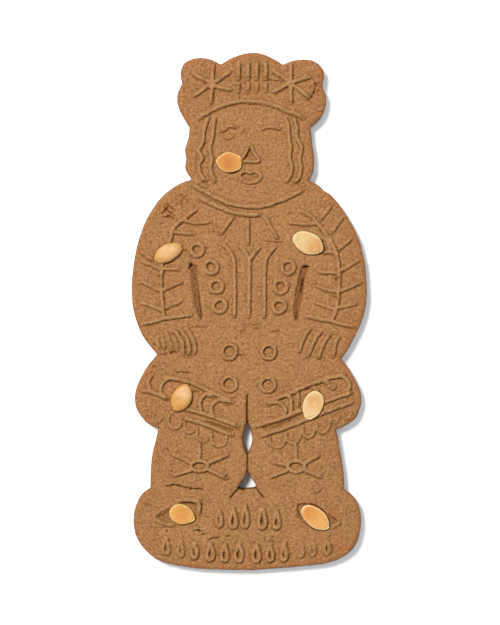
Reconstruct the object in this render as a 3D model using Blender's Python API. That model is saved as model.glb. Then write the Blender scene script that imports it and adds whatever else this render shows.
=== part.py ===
"""Moulded spice biscuit in the shape of a standing figure, with seven almonds pressed into its dough.

The biscuit lies on its back: the head points to +Y, the moulded relief looks up (+Z), and the origin
is the middle of the underside. Sizes and places below are in millimetres, and become metres where a
mesh is made.
"""

import math
from collections import namedtuple

import bmesh
import bpy
from mathutils import Matrix, Vector

MM = 0.001

# Dough slab
BODY_THICKNESS = 10.4       # from the underside to the ground between the ridges
RIM_RADIUS = 2.4            # rounding of the upper rim
RIM_SEGMENTS = 2
OUTLINE_TOLERANCE = 0.09    # how far a straight side of the outline may leave its curve

# Moulded ridges
RIDGE_WIDTH = 2.5
RIDGE_FLATNESS = 0.8        # height of a ridge's section against its half width
STROKE_TOLERANCE = 0.16     # the same for a curved ridge
END_TAPER = 0.7             # a ridge's width at its ends, against its middle
FAINT = -0.35               # a worn ridge sits this much lower
RING_POINTS = 9

# Openings and trenches
OVERCUT = 3.0               # how far a cutter runs past the faces that it opens
TRENCH_DEPTH = 5.0          # the two arm trenches
CREASE_DEPTH = 3.0          # the creases between the legs and beside the feet

# Almonds
ALMOND_SINK = 1.2           # how deep an almond sits in the dough
ALMOND_GAP = 0.3            # free space between an almond and its pocket
ALMOND_POINTS = 14
ALMOND_RINGS = 6
SLICE_EDGE = 0.45           # a cut slice: steep edge and flat top
KERNEL_EDGE = 0.95          # half a kernel: a dome
SUNK_EDGE = 0.25            # the sunk part of both

# Each lobe of the outline runs clockwise from one notch to the next
OUTLINE = (
    ((-17, 148.4), (-8, 153.2), (2.5, 155.1), (10.5, 153.5), (20, 148.2)),                      # crown
    ((20, 148.2), (26, 150.2), (33, 151.1), (40, 149.5), (44.5, 144), (43.7, 135)),             # hat, right
    ((43.7, 135), (46.1, 126.5), (43.3, 117), (36.7, 110.6)),
    ((36.7, 110.6), (37.6, 101), (38.8, 92), (38.4, 85), (35.8, 78.3)),                         # hair, right
    ((35.8, 78.3), (41.3, 75.8), (44.5, 72.4)),                                                 # shoulder
    ((44.5, 72.4), (50, 68.8), (60, 54.8), (67.2, 38), (70.5, 14), (68.4, -2.5), (62, -17.5),
     (55, -28.5)),                                                                              # arm, right
    ((55, -28.5), (62.5, -39), (67.1, -52), (64, -63.5), (59, -67.8), (52.2, -71)),             # hip, right
    ((52.2, -71), (54.4, -84), (56.4, -95), (56.9, -106.6)),                                    # leg, right
    ((56.9, -106.6), (64.5, -114.3), (67, -127), (62.3, -142), (50, -149.9), (28, -153.2), (-2, -155.1),
     (-32, -154), (-55, -149), (-66.5, -138), (-69.7, -125), (-66, -112), (-59.4, -106)),       # plinth
    ((-59.4, -106), (-59.4, -97), (-58.2, -86), (-54.6, -70.2)),                                # leg, left
    ((-54.6, -70.2), (-62, -66.2), (-68.2, -57), (-68, -46.5), (-62.5, -35), (-55.2, -25.8)),   # hip, left
    ((-55.2, -25.8), (-64.5, -14), (-70, 3), (-70.2, 22), (-66, 45), (-56.5, 64), (-45.5, 74.7),
     (-34.4, 79.2)),                                                                            # arm, left
    ((-34.4, 79.2), (-38.4, 86), (-38, 91.5), (-38.6, 97), (-36.7, 104), (-36.1, 111)),         # hair, left
    ((-36.1, 111), (-42, 121.3), (-43.4, 129), (-40.3, 137)),                                   # hat, left
    ((-40.3, 137), (-41.3, 144.5), (-37.6, 150), (-28, 152.1), (-17, 148.4)),
)

# Clear openings between the legs, and the creases that run out of them
LEG_OPENINGS = (
    ((-1.2, -66.2), (-3.1, -71.5), (-4.1, -77), (-2.9, -83), (-1.2, -86.6), (0.4, -83), (1.8, -77.5),
     (0.7, -71)),
    ((-1.1, -95.8), (-2.9, -99.8), (-6.6, -105.6), (-1.4, -106.3), (4.1, -105.3), (1, -99.8)),
)
CREASES = (
    ((-1.2, -50.2), (-1.4, -58), (-1.2, -68)),
    ((-1.2, -84), (-1.1, -98)),
    ((-5, -104.6), (-9, -108.8), (-11.9, -112.2)),
    ((3, -104), (6, -108.4), (9.2, -112.2)),
)
CREASE_WIDTH = 1.5
ARM_TRENCHES = (
    ((-34.6, 28.8), (-33.3, 20), (-32.2, 10), (-31, 1), (-29.6, -5)),
    ((33.8, 27.8), (31.3, 20), (29.8, 13), (28.6, 4), (27.8, -6)),
)
TRENCH_WIDTH = 4.4

# Ridges of each region: the points of every stroke
STARS = (
    (((-21.8, 147.5), (-22.5, 136.5), (-23, 125.6)), ((-12, 143.2), (-22.5, 136.5), (-33, 129.6)),
     ((-12, 133), (-17, 134), (-22.5, 136.5), (-33.5, 142.6))),
    (((24.5, 148), (24.5, 137), (24.9, 125.4)), ((14.4, 144.2), (24.5, 137), (35.3, 128.6)),
     ((14.4, 132), (19, 134), (24.5, 137), (36, 140.6))),
)
HAT_BARS = (-6.6, -1.1, 4.3, 9.7)                # places of the pairs of upright bars, long above short
HAT_BAR_TOP, HAT_BAR_LENGTH = 149, 9.8
SHORT_BAR_TOP, SHORT_BAR_LENGTH = 136.7, 5.1
BRIM = ((-33, 114.2), (-22, 120.9), (-11, 125.1), (2, 126), (14, 123.7), (24, 119.4), (33.5, 115.4))
HAIR = (
    ((-25.5, 115), (-28.2, 104), (-30.6, 96.5), (-29, 92.5), (-30, 86), (-28.6, 81.8), (-25.8, 78.9)),
    ((-21.6, 116), (-22.4, 105), (-23.9, 97), (-22.8, 92.5), (-23.8, 86), (-22.6, 81.8), (-20.6, 78.2)),
    ((21.6, 116), (22.9, 106), (24.1, 97), (24.3, 90), (24.7, 84), (21.5, 77.9)),
    ((26.6, 115.5), (28.2, 106), (30.4, 97), (30.2, 88), (29.6, 80.5), (27, 77.5)),
)
EYELIDS = (
    ((-17, 108), (-13, 111), (-9, 111.2), (-5.5, 109.6)),
    ((7.8, 109.2), (12, 111), (18.2, 109.9)),
)
NOSE = (((0.2, 99.3), (-5.3, 91)), ((0.2, 99.3), (4.9, 90.4)), ((-4.4, 90.1), (5.8, 90)))
MOUTH = ((-6, 81.2), (-2.9, 84.6), (0.4, 83.8), (3.8, 84.6), (7.6, 81.6), (4.6, 78.1), (0.4, 77.3),
         (-3.8, 78.2))
COLLARS = (
    ((-33, 75.2), (-24, 70.3), (-14, 65.6), (-4, 63.2), (6, 63), (16, 65.5), (26, 69.8), (31.5, 72.6)),
    ((-29.5, 68.2), (-20, 63.3), (-10, 59.7), (0, 58.2), (6, 58.2)),
)
LAPELS = (
    ((-10, 56.8), (-17, 46.8)), ((9.6, 56), (16.4, 44.6)), ((-1.1, 56.2), (-1.2, 41)),
    ((-15.2, 40), (-10.1, 33.5), (-9.2, 28), (-9, -2.5)),
    ((15.2, 39), (9.8, 31.5), (9.1, 27), (9, -2.5)),
    ((-5.6, 38.8), (-0.5, 31.5), (-0.3, 26), (-0.4, -2.5)), ((5.8, 38.4), (-0.4, 31)),
)
BUTTONS = ((-31.5, 37.2), (-23, 27), (-20, 15.3), (-18, 3.6), (23, 26.8), (18.7, 15), (17.7, 3.2),
           (-12, -24), (11.3, -24.2), (-12.2, -43.4), (11, -43.8))
BUTTON_RADIUS = 3.9
STUDS = ((-5.2, -10.3), (3.9, -9), (14.8, -10.6))
STUD_REACH = 1.4                                 # from a stud's middle to the middles of its ends
SLEEVE_STEMS = (
    ((-32.6, 60.6), (-39.5, 55.4), (-45.2, 50.4), (-48, 42), (-51.4, 33), (-53, 20), (-52.4, 7), (-51.3, -4)),
    ((38.5, 55.6), (45, 47.5), (50, 39.5), (53, 29.5), (53.5, 16), (52, 2.5), (48.6, -6)),
)
TWIGS = (
    ((-39.6, 54.8), (-31, 53.1), (-23.4, 54.4)), ((-46, 47.6), (-33.4, 46.6)), ((-52, 25.6), (-42.4, 25.4)),
    ((-52.2, 12.8), (-41, 17.8)), ((-50.6, 2.4), (-41, 6.4)), ((-64, 30.4), (-53.5, 25.4)),
    ((-65, 18.3), (-53.5, 12.6)), ((-64.6, 5.3), (-52.8, 1)), ((-64.5, 35.6), (-58, 31)),
    ((24.5, 53.6), (32, 52.5), (40.6, 53)), ((31.6, 60.2), (38.4, 56)), ((43.4, 35.9), (51.6, 35.6)),
    ((42, 23.6), (52.6, 23.4)), ((40.4, 15.8), (46, 13.4), (52.4, 12)), ((40, 5.4), (51, 1.4)),
    ((42.4, 55), (48.8, 63.6)), ((48.8, 47.4), (55.2, 55.8)), ((53, 36.6), (60.2, 43.5)),
    ((54.6, 24.2), (65, 31)), ((54.4, 12.2), (66.5, 17.4)), ((52.2, 2.2), (64, 4.8)),
    ((43.5, 44), (46, 44.9), (48.4, 41)),
)
CUFFS = (((-64.8, -7.8), (-51, -4.3), (-35, -1.8)), ((34, -2.8), (47, -5.2), (62, -9)))
HANDS = (                                        # first and last finger of each hand
    (((-54.4, -13.6), (-51.6, -17.8), (-50.6, -24)), ((-38, -9.6), (-34.6, -14.8), (-33.6, -26))),
    (((36.8, -11), (33.2, -16), (30.8, -26)), ((55.6, -15.8), (53.2, -20), (51.8, -28.6))),
)
FINGERS = 5
GARTERS = (
    ((-51, -39.4), (-38, -41.6), (-24, -47.6), (-10.5, -54.4)),
    ((-38, -58.2), (-22, -62.9), (-7, -68.5)), ((-38.4, -63.8), (-24, -68.6), (-10.4, -73.8)),
    ((10.6, -54), (24, -49), (40, -41.9), (56.4, -37.9)),
    ((5, -68.2), (20, -63.5), (36, -57.3), (60.6, -48.4)),
    ((8, -73.9), (22, -69.3), (42, -61.4), (61, -54.2)),
)
LOOPS = (
    ((-56.4, -38), (-60, -42.5), (-58.2, -48)), ((-43.5, -40.2), (-50.4, -42), (-53.3, -47.5), (-50, -52.4)),
    ((-64, -47.3), (-57, -48.8), (-49, -52)), ((-28.6, -47.6), (-33, -47.8), (-34.4, -52)),
    ((-21.6, -50.2), (-28.2, -50.9), (-31.4, -56), (-29.4, -60.8)),
    ((-14.6, -53.2), (-20.4, -54.2), (-24.2, -59), (-21.8, -63.4)),
    ((11, -55.4), (17, -54.4), (21.4, -58), (20.6, -63)), ((26.8, -48.6), (31, -49), (32.6, -55)),
    ((19.4, -51.4), (24.2, -51), (27.6, -55.6), (26.4, -61)), ((41, -42.8), (45.4, -42.4), (51.4, -46.2)),
    ((48.6, -39.6), (55.6, -39.6), (60, -44.4), (58.4, -49)),
)
SCALLOPS = 5                                     # hanging loops below the garter of each leg
SCALLOP_START = (17.4, -76.8)
SCALLOP_STEP = (9.4, 3.4)
SCALLOP_SIZE = (4.3, 5.0)
SCALLOP_LEAN = 0.009                             # rise of a loop's outer side, for each mm from the middle
BOWS = (((-30, -92.5), (4.9, 3.1)), ((28, -92.5), (5, 3.1)))
BOW_TAILS = (
    ((-30, -79.6), (-30.1, -89)), ((-35, -90.6), (-45.6, -85.4)), ((-34.4, -94.6), (-45, -98.2)),
    ((-25.6, -91), (-13.6, -86)), ((-25.6, -94.2), (-14, -99.4)),
    ((27.4, -79.6), (27.7, -89)), ((33, -91), (41, -86.4)), ((32.6, -94.8), (42.6, -98.8)),
    ((23.4, -94.4), (12.8, -98.8)), ((23.2, -91.8), (15, -90.6)),
)
SHOES = (
    ((-56.4, -123), (-49, -117.6), (-40.4, -112), (-30.6, -113.4), (-30.4, -121), (-31.4, -128.6),
     (-41, -129), (-50, -126.2)),
    ((27.8, -115), (37, -113.8), (47, -118), (54.6, -125), (50, -129.4), (41, -131.4), (32, -128.4),
     (27.4, -122)),
)
DROP_ROWS = (                                    # first place, step, count, and rise towards the row's ends
    ((-18.6, -124), 8.55, 5, -1.8),
    ((-51, -146.4), 8.92, 12, 3.5),
)
DROP_SIZE = (2.1, 4.5)

# Pinch is how much an almond narrows towards its pointed end, direction is that end's, in degrees
AlmondSize = namedtuple("AlmondSize", "middle length width pinch direction height edge")
ALMONDS = {
    "almond_face": AlmondSize((-12.0, 89.3), 16.6, 11.8, 0.4, 175, 2.0, SLICE_EDGE),
    "almond_chest_left": AlmondSize((-48.5, 35.3), 19.0, 10.5, 0.1, 28, 3.4, KERNEL_EDGE),
    "almond_chest_right": AlmondSize((35.3, 40.8), 19.8, 13.0, 0.25, -26, 2.0, SLICE_EDGE),
    "almond_thigh_left": AlmondSize((-40.4, -51.4), 17.6, 11.4, 0.3, 68, 3.6, KERNEL_EDGE),
    "almond_thigh_right": AlmondSize((37.9, -56.0), 17.2, 12.0, 0.15, 254, 2.0, SLICE_EDGE),
    "almond_foot_left": AlmondSize((-40.2, -121.7), 16.2, 12.0, 0.35, -26, 2.0, SLICE_EDGE),
    "almond_foot_right": AlmondSize((39.6, -123.6), 20.4, 11.8, 0.15, -38, 2.1, SLICE_EDGE),
}

BISCUIT_BROWN = (0.413, 0.198, 0.078, 1.0)
ALMOND_CREAM = (0.80, 0.55, 0.25, 1.0)

Stroke = namedtuple("Stroke", "points width lift closed")


def clear_scene():
    for item in list(bpy.data.objects):
        bpy.data.objects.remove(item, do_unlink=True)


def new_collection(name):
    collection = bpy.data.collections.new(name)
    bpy.context.scene.collection.children.link(collection)
    return collection


def material(name, colour, roughness):
    made = bpy.data.materials.new(name)
    made.use_nodes = True
    shader = made.node_tree.nodes["Principled BSDF"]
    shader.inputs["Base Color"].default_value = colour
    shader.inputs["Roughness"].default_value = roughness
    shader.inputs["Metallic"].default_value = 0.0
    return made


def smooth(points, tolerance, closed=False):
    """Points on a smooth curve through the given ones, close enough to keep their chords in tolerance."""
    knots = [Vector(point) for point in points]
    if len(knots) == 2:
        return knots
    count = len(knots)
    spans = count if closed else count - 1
    lengths = [(knots[(i + 1) % count] - knots[i]).length for i in range(spans)]

    def slope(i):
        before, after = (i - 1) % count, (i + 1) % count
        if closed or 0 < i < count - 1:
            return (knots[after] - knots[before]) / (lengths[before] + lengths[i % spans])
        edge = 0 if i == 0 else spans - 1
        chord = (knots[edge + 1] - knots[edge]) / lengths[edge]
        return 1.5 * chord - 0.5 * slope(1 if i == 0 else count - 2)

    path = []
    for i in range(spans):
        start, end = knots[i], knots[(i + 1) % count]
        leave, arrive = slope(i) * lengths[i], slope((i + 1) % count) * lengths[i]
        chord = end - start
        turn = leave.angle(chord) + chord.angle(arrive)
        pieces = max(1, math.ceil(math.sqrt(lengths[i] * turn / (8 * tolerance))))
        for k in range(pieces):
            t = k / pieces
            path.append((2 * t**3 - 3 * t**2 + 1) * start + (t**3 - 2 * t**2 + t) * leave
                        + (3 * t**2 - 2 * t**3) * end + (t**3 - t**2) * arrive)
    return path if closed else path + [knots[-1]]


def oval(centre, radii, count):
    """Closed ring of points around a centre."""
    turns = (math.tau * i / count for i in range(count))
    return [(centre[0] + radii[0] * math.cos(a), centre[1] + radii[1] * math.sin(a)) for a in turns]


def drop(centre, radii):
    """Closed outline of a drop that points up."""
    x, y = centre
    wide, tall = radii
    half = ((0, 1), (0.7, 0.3), (1, -0.4), (0.5, -1))
    right = [(x + u * wide, y + v * tall) for u, v in half]
    return right + [(2 * x - u, v) for u, v in reversed(right[1:])]


def drop_row(start, step, count, rise):
    """Middles of a row of drops, whose ends lie higher or lower than its middle."""
    x, y = start
    return [(x + i * step, y + rise * (2 * i / (count - 1) - 1) ** 2) for i in range(count)]


def scallops():
    """Open loops that hang from both garters, each a little higher than the one nearer to the middle."""
    wide, tall = SCALLOP_SIZE
    shape = ((-wide, tall), (-0.8 * wide, -0.5 * tall), (0, -tall), (0.8 * wide, -0.5 * tall), (wide, tall))
    loops = []
    for side in (-1, 1):
        for i in range(SCALLOPS):
            x = side * (SCALLOP_START[0] + i * SCALLOP_STEP[0])
            y = SCALLOP_START[1] + i * SCALLOP_STEP[1]
            loops.append([(x + u, y + v + SCALLOP_LEAN * x * u) for u, v in shape])
    return loops


def fan(first, last, count):
    """Strokes spread evenly from the first one to the last."""
    shares = (i / (count - 1) for i in range(count))
    return [[Vector(a).lerp(Vector(b), share) for a, b in zip(first, last)] for share in shares]


def relief():
    """Every ridge of the mould, as strokes."""
    strokes = []

    def add(paths, width=RIDGE_WIDTH, lift=0.0, closed=False, angular=False):
        for path in paths:
            points = [Vector(point) for point in path] if angular else smooth(path, STROKE_TOLERANCE, closed)
            level = lift - 0.02 * (len(strokes) % 5)     # no two crossing ridges share a top face
            strokes.append(Stroke(points, width, level, closed))

    add(arm for star in STARS for arm in star)
    add(((x, HAT_BAR_TOP), (x, HAT_BAR_TOP - HAT_BAR_LENGTH)) for x in HAT_BARS)
    add((((x, SHORT_BAR_TOP), (x, SHORT_BAR_TOP - SHORT_BAR_LENGTH)) for x in HAT_BARS), lift=FAINT / 2)
    add([BRIM], width=3.2)
    add(HAIR)
    add(EYELIDS, width=2.0)
    add(NOSE, width=2.1)
    add([MOUTH], width=2.0, closed=True)
    add(COLLARS, width=2.8)
    add(LAPELS)
    rings = [oval(centre, (BUTTON_RADIUS,) * 2, RING_POINTS) for centre in BUTTONS]
    add(rings, width=2.7, closed=True, angular=True)
    add((((x - STUD_REACH, y), (x + STUD_REACH, y)) for x, y in STUDS), width=2.6, lift=FAINT)
    add(SLEEVE_STEMS)
    add(TWIGS, lift=FAINT / 2)
    add(CUFFS)
    add((finger for first, last in HANDS for finger in fan(first, last, FINGERS)), width=2.2)
    add(GARTERS, width=2.7)
    add(LOOPS)
    add(scallops(), width=2.2, lift=FAINT / 2, angular=True)
    add((oval(centre, radii, RING_POINTS) for centre, radii in BOWS), closed=True, angular=True)
    add(BOW_TAILS)
    add(SHOES, lift=FAINT / 2, closed=True, angular=True)
    drops = [drop(centre, DROP_SIZE) for row in DROP_ROWS for centre in drop_row(*row)]
    add(drops, width=2.4, closed=True, angular=True)
    return strokes


def to_mesh_object(item, collection):
    """Turn a curve object into a welded mesh object at the same place."""
    bpy.context.view_layer.update()
    evaluated = item.evaluated_get(bpy.context.evaluated_depsgraph_get())
    mesh = bpy.data.meshes.new_from_object(evaluated)
    shape = bmesh.new()
    shape.from_mesh(mesh)
    bmesh.ops.remove_doubles(shape, verts=shape.verts, dist=0.001 * MM)
    bmesh.ops.recalc_face_normals(shape, faces=shape.faces)
    shape.to_mesh(mesh)
    shape.free()
    name, place = item.name, item.matrix_world.copy()
    bpy.data.objects.remove(item, do_unlink=True)
    made = bpy.data.objects.new(name, mesh)
    made.matrix_world = place
    collection.objects.link(made)
    return made


def plate(name, paths, low, high, collection):
    """Flat outlines filled and extruded between two heights."""
    curve = bpy.data.curves.new(name, "CURVE")
    curve.dimensions = "2D"
    curve.fill_mode = "BOTH"
    curve.extrude = (high - low) / 2 * MM
    for path in paths:
        spline = curve.splines.new("POLY")
        spline.points.add(len(path) - 1)
        for knot, place in zip(spline.points, path):
            knot.co = (place[0] * MM, place[1] * MM, 0, 1)
        spline.use_cyclic_u = True
    item = bpy.data.objects.new(name, curve)
    item.location.z = (high + low) / 2 * MM
    collection.objects.link(item)
    return to_mesh_object(item, collection)


def tubes(name, strokes, flatness, level, collection):
    """One mesh of flattened six-sided tubes along the strokes, with their middle at the given level."""
    curve = bpy.data.curves.new(name, "CURVE")
    curve.dimensions = "3D"
    curve.twist_mode = "Z_UP"
    curve.bevel_depth = MM
    curve.bevel_resolution = 1
    curve.use_fill_caps = True
    for stroke in strokes:
        spline = curve.splines.new("POLY")
        spline.points.add(len(stroke.points) - 1)
        spline.use_cyclic_u = stroke.closed
        for knot, place in zip(spline.points, stroke.points):
            knot.co = (place[0] * MM, place[1] * MM, stroke.lift * MM / flatness, 1)
            knot.radius = stroke.width / 2
        if not stroke.closed:
            spline.points[0].radius *= END_TAPER
            spline.points[-1].radius *= END_TAPER
    item = bpy.data.objects.new(name, curve)
    item.location.z = level * MM
    item.scale.z = flatness
    collection.objects.link(item)
    return to_mesh_object(item, collection)


def slab(collection):
    """The biscuit's body: its outline as a plate with a rounded upper rim."""
    path = [point for lobe in OUTLINE for point in smooth(lobe, OUTLINE_TOLERANCE)[:-1]]
    body = plate("cookie", [path], 0, BODY_THICKNESS, collection)
    middle = body.location.z
    shape = bmesh.new()
    shape.from_mesh(body.data)
    level = [edge for edge in shape.edges
             if len(edge.link_faces) == 2 and all(abs(face.normal.z) > 0.5 for face in edge.link_faces)]
    bmesh.ops.dissolve_edges(shape, edges=level, use_verts=False)
    rim = [edge for edge in shape.edges if all(vert.co.z > BODY_THICKNESS * MM / 4 for vert in edge.verts)]
    bmesh.ops.bevel(shape, geom=rim, offset=RIM_RADIUS * MM, offset_type="OFFSET", segments=RIM_SEGMENTS,
                    profile=0.5, affect="EDGES", clamp_overlap=False)
    bmesh.ops.translate(shape, verts=shape.verts, vec=(0, 0, middle))
    shape.to_mesh(body.data)
    shape.free()
    body.location.z = 0
    return body


def combine(body, operand, operation):
    modifier = body.modifiers.new(operand.name, "BOOLEAN")
    modifier.operation = operation
    modifier.solver = "EXACT"
    modifier.use_self = operation == "UNION"
    modifier.object = operand
    operand.hide_render = True
    operand.display_type = "WIRE"


def almond_section(size, angle, reach=1.0, margin=0.0):
    """Point of an almond's outline on the biscuit: angle 0 is its pointed end, reach 1 its full size."""
    pinch = 1 - size.pinch * max(0.0, math.cos(angle)) ** 2
    along = (size.length / 2 + margin) * reach * math.cos(angle)
    across = (size.width / 2 + margin) * reach * math.sin(angle) * pinch
    turned = Matrix.Rotation(math.radians(size.direction), 2) @ Vector((along, across))
    return turned.x + size.middle[0], turned.y + size.middle[1]


def almond(name, size, collection):
    """A rounded almond half or slice, made from a sphere: a shaped top, and a sunk part with steep sides."""
    shape = bmesh.new()
    bmesh.ops.create_uvsphere(shape, u_segments=ALMOND_POINTS, v_segments=ALMOND_RINGS, radius=1.0)
    for vert in shape.verts:
        above = vert.co.z > 0
        power = size.edge if above else SUNK_EDGE
        latitude = math.asin(max(-1.0, min(1.0, vert.co.z)))
        reach = max(0.0, math.cos(latitude)) ** power
        rise = math.copysign(abs(math.sin(latitude)) ** power, latitude)
        x, y = almond_section(size, math.atan2(vert.co.y, vert.co.x), reach)
        z = BODY_THICKNESS + rise * (size.height if above else ALMOND_SINK)
        vert.co = (x * MM, y * MM, z * MM)
    mesh = bpy.data.meshes.new(name)
    shape.to_mesh(mesh)
    shape.free()
    mesh.shade_smooth()
    item = bpy.data.objects.new(name, mesh)
    item.data.materials.append(material(name, ALMOND_CREAM, 0.45))
    collection.objects.link(item)


def pocket(size):
    """Outline of the hole that an almond sits in."""
    angles = (math.tau * i / ALMOND_POINTS for i in range(ALMOND_POINTS))
    return [almond_section(size, angle, margin=ALMOND_GAP) for angle in angles]


def build():
    clear_scene()
    parts = new_collection("gingerbread_figure")
    cutters = new_collection("cutters")

    body = slab(parts)
    body.data.materials.append(material("cookie", BISCUIT_BROWN, 0.85))
    combine(body, tubes("ridges", relief(), RIDGE_FLATNESS, BODY_THICKNESS, cutters), "UNION")

    pockets = [pocket(size) for size in ALMONDS.values()]
    floor = BODY_THICKNESS - ALMOND_SINK - ALMOND_GAP
    combine(body, plate("pockets", pockets, floor, BODY_THICKNESS + OVERCUT, cutters), "DIFFERENCE")

    openings = [smooth(path, STROKE_TOLERANCE, closed=True) for path in LEG_OPENINGS]
    combine(body, plate("leg_openings", openings, -OVERCUT, BODY_THICKNESS + OVERCUT, cutters), "DIFFERENCE")

    for name, paths, width, depth in (("arm_trenches", ARM_TRENCHES, TRENCH_WIDTH, TRENCH_DEPTH),
                                      ("creases", CREASES, CREASE_WIDTH, CREASE_DEPTH)):
        grooves = [Stroke(smooth(path, STROKE_TOLERANCE), width, 0, False) for path in paths]
        combine(body, tubes(name, grooves, 2 * depth / width, BODY_THICKNESS, cutters), "DIFFERENCE")

    for name, size in ALMONDS.items():
        almond(name, size, parts)


build()
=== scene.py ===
"""Looks of a moulded spice biscuit in the shape of a standing figure, with seven almonds baked into it.

Lengths and places are in millimetres, in the part's own frame: the biscuit lies on its back, its head
points to +Y, the moulded relief looks up (+Z), and the origin is the middle of the underside.
"""

import math
import random
from collections import namedtuple

import bpy
import numpy as np
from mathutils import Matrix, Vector, noise


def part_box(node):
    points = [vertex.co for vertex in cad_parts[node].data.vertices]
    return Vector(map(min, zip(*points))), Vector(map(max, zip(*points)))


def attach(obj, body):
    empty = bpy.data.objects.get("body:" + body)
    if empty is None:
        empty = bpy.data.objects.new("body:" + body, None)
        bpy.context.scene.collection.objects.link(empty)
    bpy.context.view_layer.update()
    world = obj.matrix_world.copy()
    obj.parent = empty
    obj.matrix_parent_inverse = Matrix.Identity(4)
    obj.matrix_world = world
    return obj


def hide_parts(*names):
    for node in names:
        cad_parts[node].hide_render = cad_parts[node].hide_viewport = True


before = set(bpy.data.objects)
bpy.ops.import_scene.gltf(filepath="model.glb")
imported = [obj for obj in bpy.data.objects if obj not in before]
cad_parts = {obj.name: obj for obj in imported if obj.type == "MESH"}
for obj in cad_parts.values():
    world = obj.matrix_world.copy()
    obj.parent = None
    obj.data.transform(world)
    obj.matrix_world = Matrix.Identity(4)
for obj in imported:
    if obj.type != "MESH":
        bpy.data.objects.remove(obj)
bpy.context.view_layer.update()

MM = 0.001

# Dough slab
GROUND = 10.4               # height of the ground between the beads
RIM_RADIUS = 2.4            # rounding of the upper and lower rims
UNDERSIDE_TRIM = 1.1        # the lower rounding is cut off flat this far up
CURVE_STEP = 0.5            # spacing of the points along a curve

# Beads that the mould leaves on the dough
BEAD_WIDTH = 2.5
BEAD_FLATNESS = 1.08        # height of a bead's section against its half width
BEAD_SIDES = 5              # bevel resolution of a bead
WORN = -0.3                 # a worn bead sits this much lower
FAINT = -0.55
WAVER = 0.35                # how far a bead strays from its path
WAVER_SIZE = 4.0
FINE_WAVER = 0.12
FINE_WAVER_SIZE = 1.7
FOOT_DEPTH = 0.65           # sharp crease along the lower right foot of a bead
FOOT_REACH = 0.55
RECESS_DEPTH = 0.55         # how much lower the dough lies inside a closed bead
# the side that faces away from the light: the crease is deepest there and its painted shade darkest
FOOT_SIDE = (0.6, -0.8)
UPPER_FOOT = 0.3            # strength of the crease along the other foot

# Surface
VOXEL = 0.36                # grid that fuses slab and beads into one body
TRIANGLES = 192000          # most that the finished biscuit may have
SEED = 11

# Each lobe of the outline runs clockwise from one notch to the next
OUTLINE = (
    ((-17, 148.4), (-8, 153.2), (2.5, 155.1), (10.5, 153.5), (20, 148.2)),                      # crown
    ((20, 148.2), (26, 150.2), (33, 151.1), (40, 149.5), (44.5, 144), (43.7, 135)),             # hat, right
    ((43.7, 135), (46.1, 126.5), (43.3, 117), (36.7, 110.6)),
    ((36.7, 110.6), (37.6, 101), (38.8, 92), (38.4, 85), (35.8, 78.3)),                         # hair, right
    ((35.8, 78.3), (41.3, 75.8), (44.5, 72.4)),                                                 # shoulder
    ((44.5, 72.4), (50, 68.8), (60, 54.8), (67.2, 38), (70.5, 14), (68.4, -2.5), (62, -17.5),
     (55, -28.5)),                                                                              # arm, right
    ((55, -28.5), (62.5, -39), (67.1, -52), (64, -63.5), (59, -67.8), (52.2, -71)),             # hip, right
    ((52.2, -71), (54.4, -84), (56.4, -95), (56.9, -106.6)),                                    # leg, right
    ((56.9, -106.6), (64.5, -114.3), (67, -127), (62.3, -142), (50, -149.9), (28, -153.2), (-2, -155.1),
     (-32, -154), (-55, -149), (-66.5, -138), (-69.7, -125), (-66, -112), (-59.4, -106)),       # plinth
    ((-59.4, -106), (-59.4, -97), (-58.2, -86), (-54.6, -70.2)),                                # leg, left
    ((-54.6, -70.2), (-62, -66.2), (-68.2, -57), (-68, -46.5), (-62.5, -35), (-55.2, -25.8)),   # hip, left
    ((-55.2, -25.8), (-64.5, -14), (-70, 3), (-70.2, 22), (-66, 45), (-56.5, 64), (-45.5, 74.7),
     (-34.4, 79.2)),                                                                            # arm, left
    ((-34.4, 79.2), (-38.4, 86), (-38, 91.5), (-38.6, 97), (-36.7, 104), (-36.1, 111)),         # hair, left
    ((-36.1, 111), (-42, 121.3), (-43.4, 129), (-40.3, 137)),                                   # hat, left
    ((-40.3, 137), (-41.3, 144.5), (-37.6, 150), (-28, 152.1), (-17, 148.4)),
)
LEG_OPENINGS = (
    ((-1.2, -66.8), (-3.0, -71.5), (-4.0, -77), (-2.7, -82.4), (-1.2, -85.2), (0.3, -82.4), (1.7, -77.5),
     (0.6, -71)),
    ((-1.1, -96.2), (-2.8, -99.9), (-6.5, -105.5), (-1.4, -106.1), (3.8, -105.1), (0.9, -99.8)),
)
OPENING_SHADE = 1.1                              # shade painted on the walls of the openings

# Grooves pressed into the dough
Groove = namedtuple("Groove", "path depth left right")      # left and right: how far each bank reaches
HOLLOWS = (
    ((0.2, 97.4), (-2.5, 92.4), (2.7, 92.4)),
    ((-55.4, -123), (-51.5, -120.6), (-46, -118.4), (-42, -121), (-42, -126), (-49, -126.4)),
    ((-41, -114.5), (-32, -115.2), (-31.6, -119), (-32, -123), (-38, -120)),
    ((28.8, -115.6), (35, -115), (40.6, -116.4), (47, -121), (52.6, -125.4), (48.4, -127.6), (42, -131),
     (34, -128.4), (29, -122)),
    ((43.6, 43), (45.2, 41.8), (46.2, 38.6), (46.8, 36.6), (43.4, 36.8), (43, 40)),
    ((-26, -65.2), (-16, -68.2), (-8.6, -71), (-10, -72.2), (-17, -70), (-26.6, -66.6)),
    ((8, -69.4), (20, -65.4), (31, -61.2), (31.4, -63.4), (21, -67.6), (9.4, -71.8)),
)
HOLLOW_DEPTH = 0.9
ARM_TRENCHES = (                                 # along the foot of the east bank
    Groove(((-32.2, 28.6), (-31.9, 20), (-30.8, 12), (-29.9, 5), (-29.2, 0), (-29.2, -5.6)), 2.2, 4.4, 1.0),
    Groove(((34.8, 27.8), (33, 22), (32, 16), (31, 9), (29.5, 2), (28.2, -6.6)), 2.2, 4.2, 0.9),
)
TRENCH_SHADE = 0.5
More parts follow.
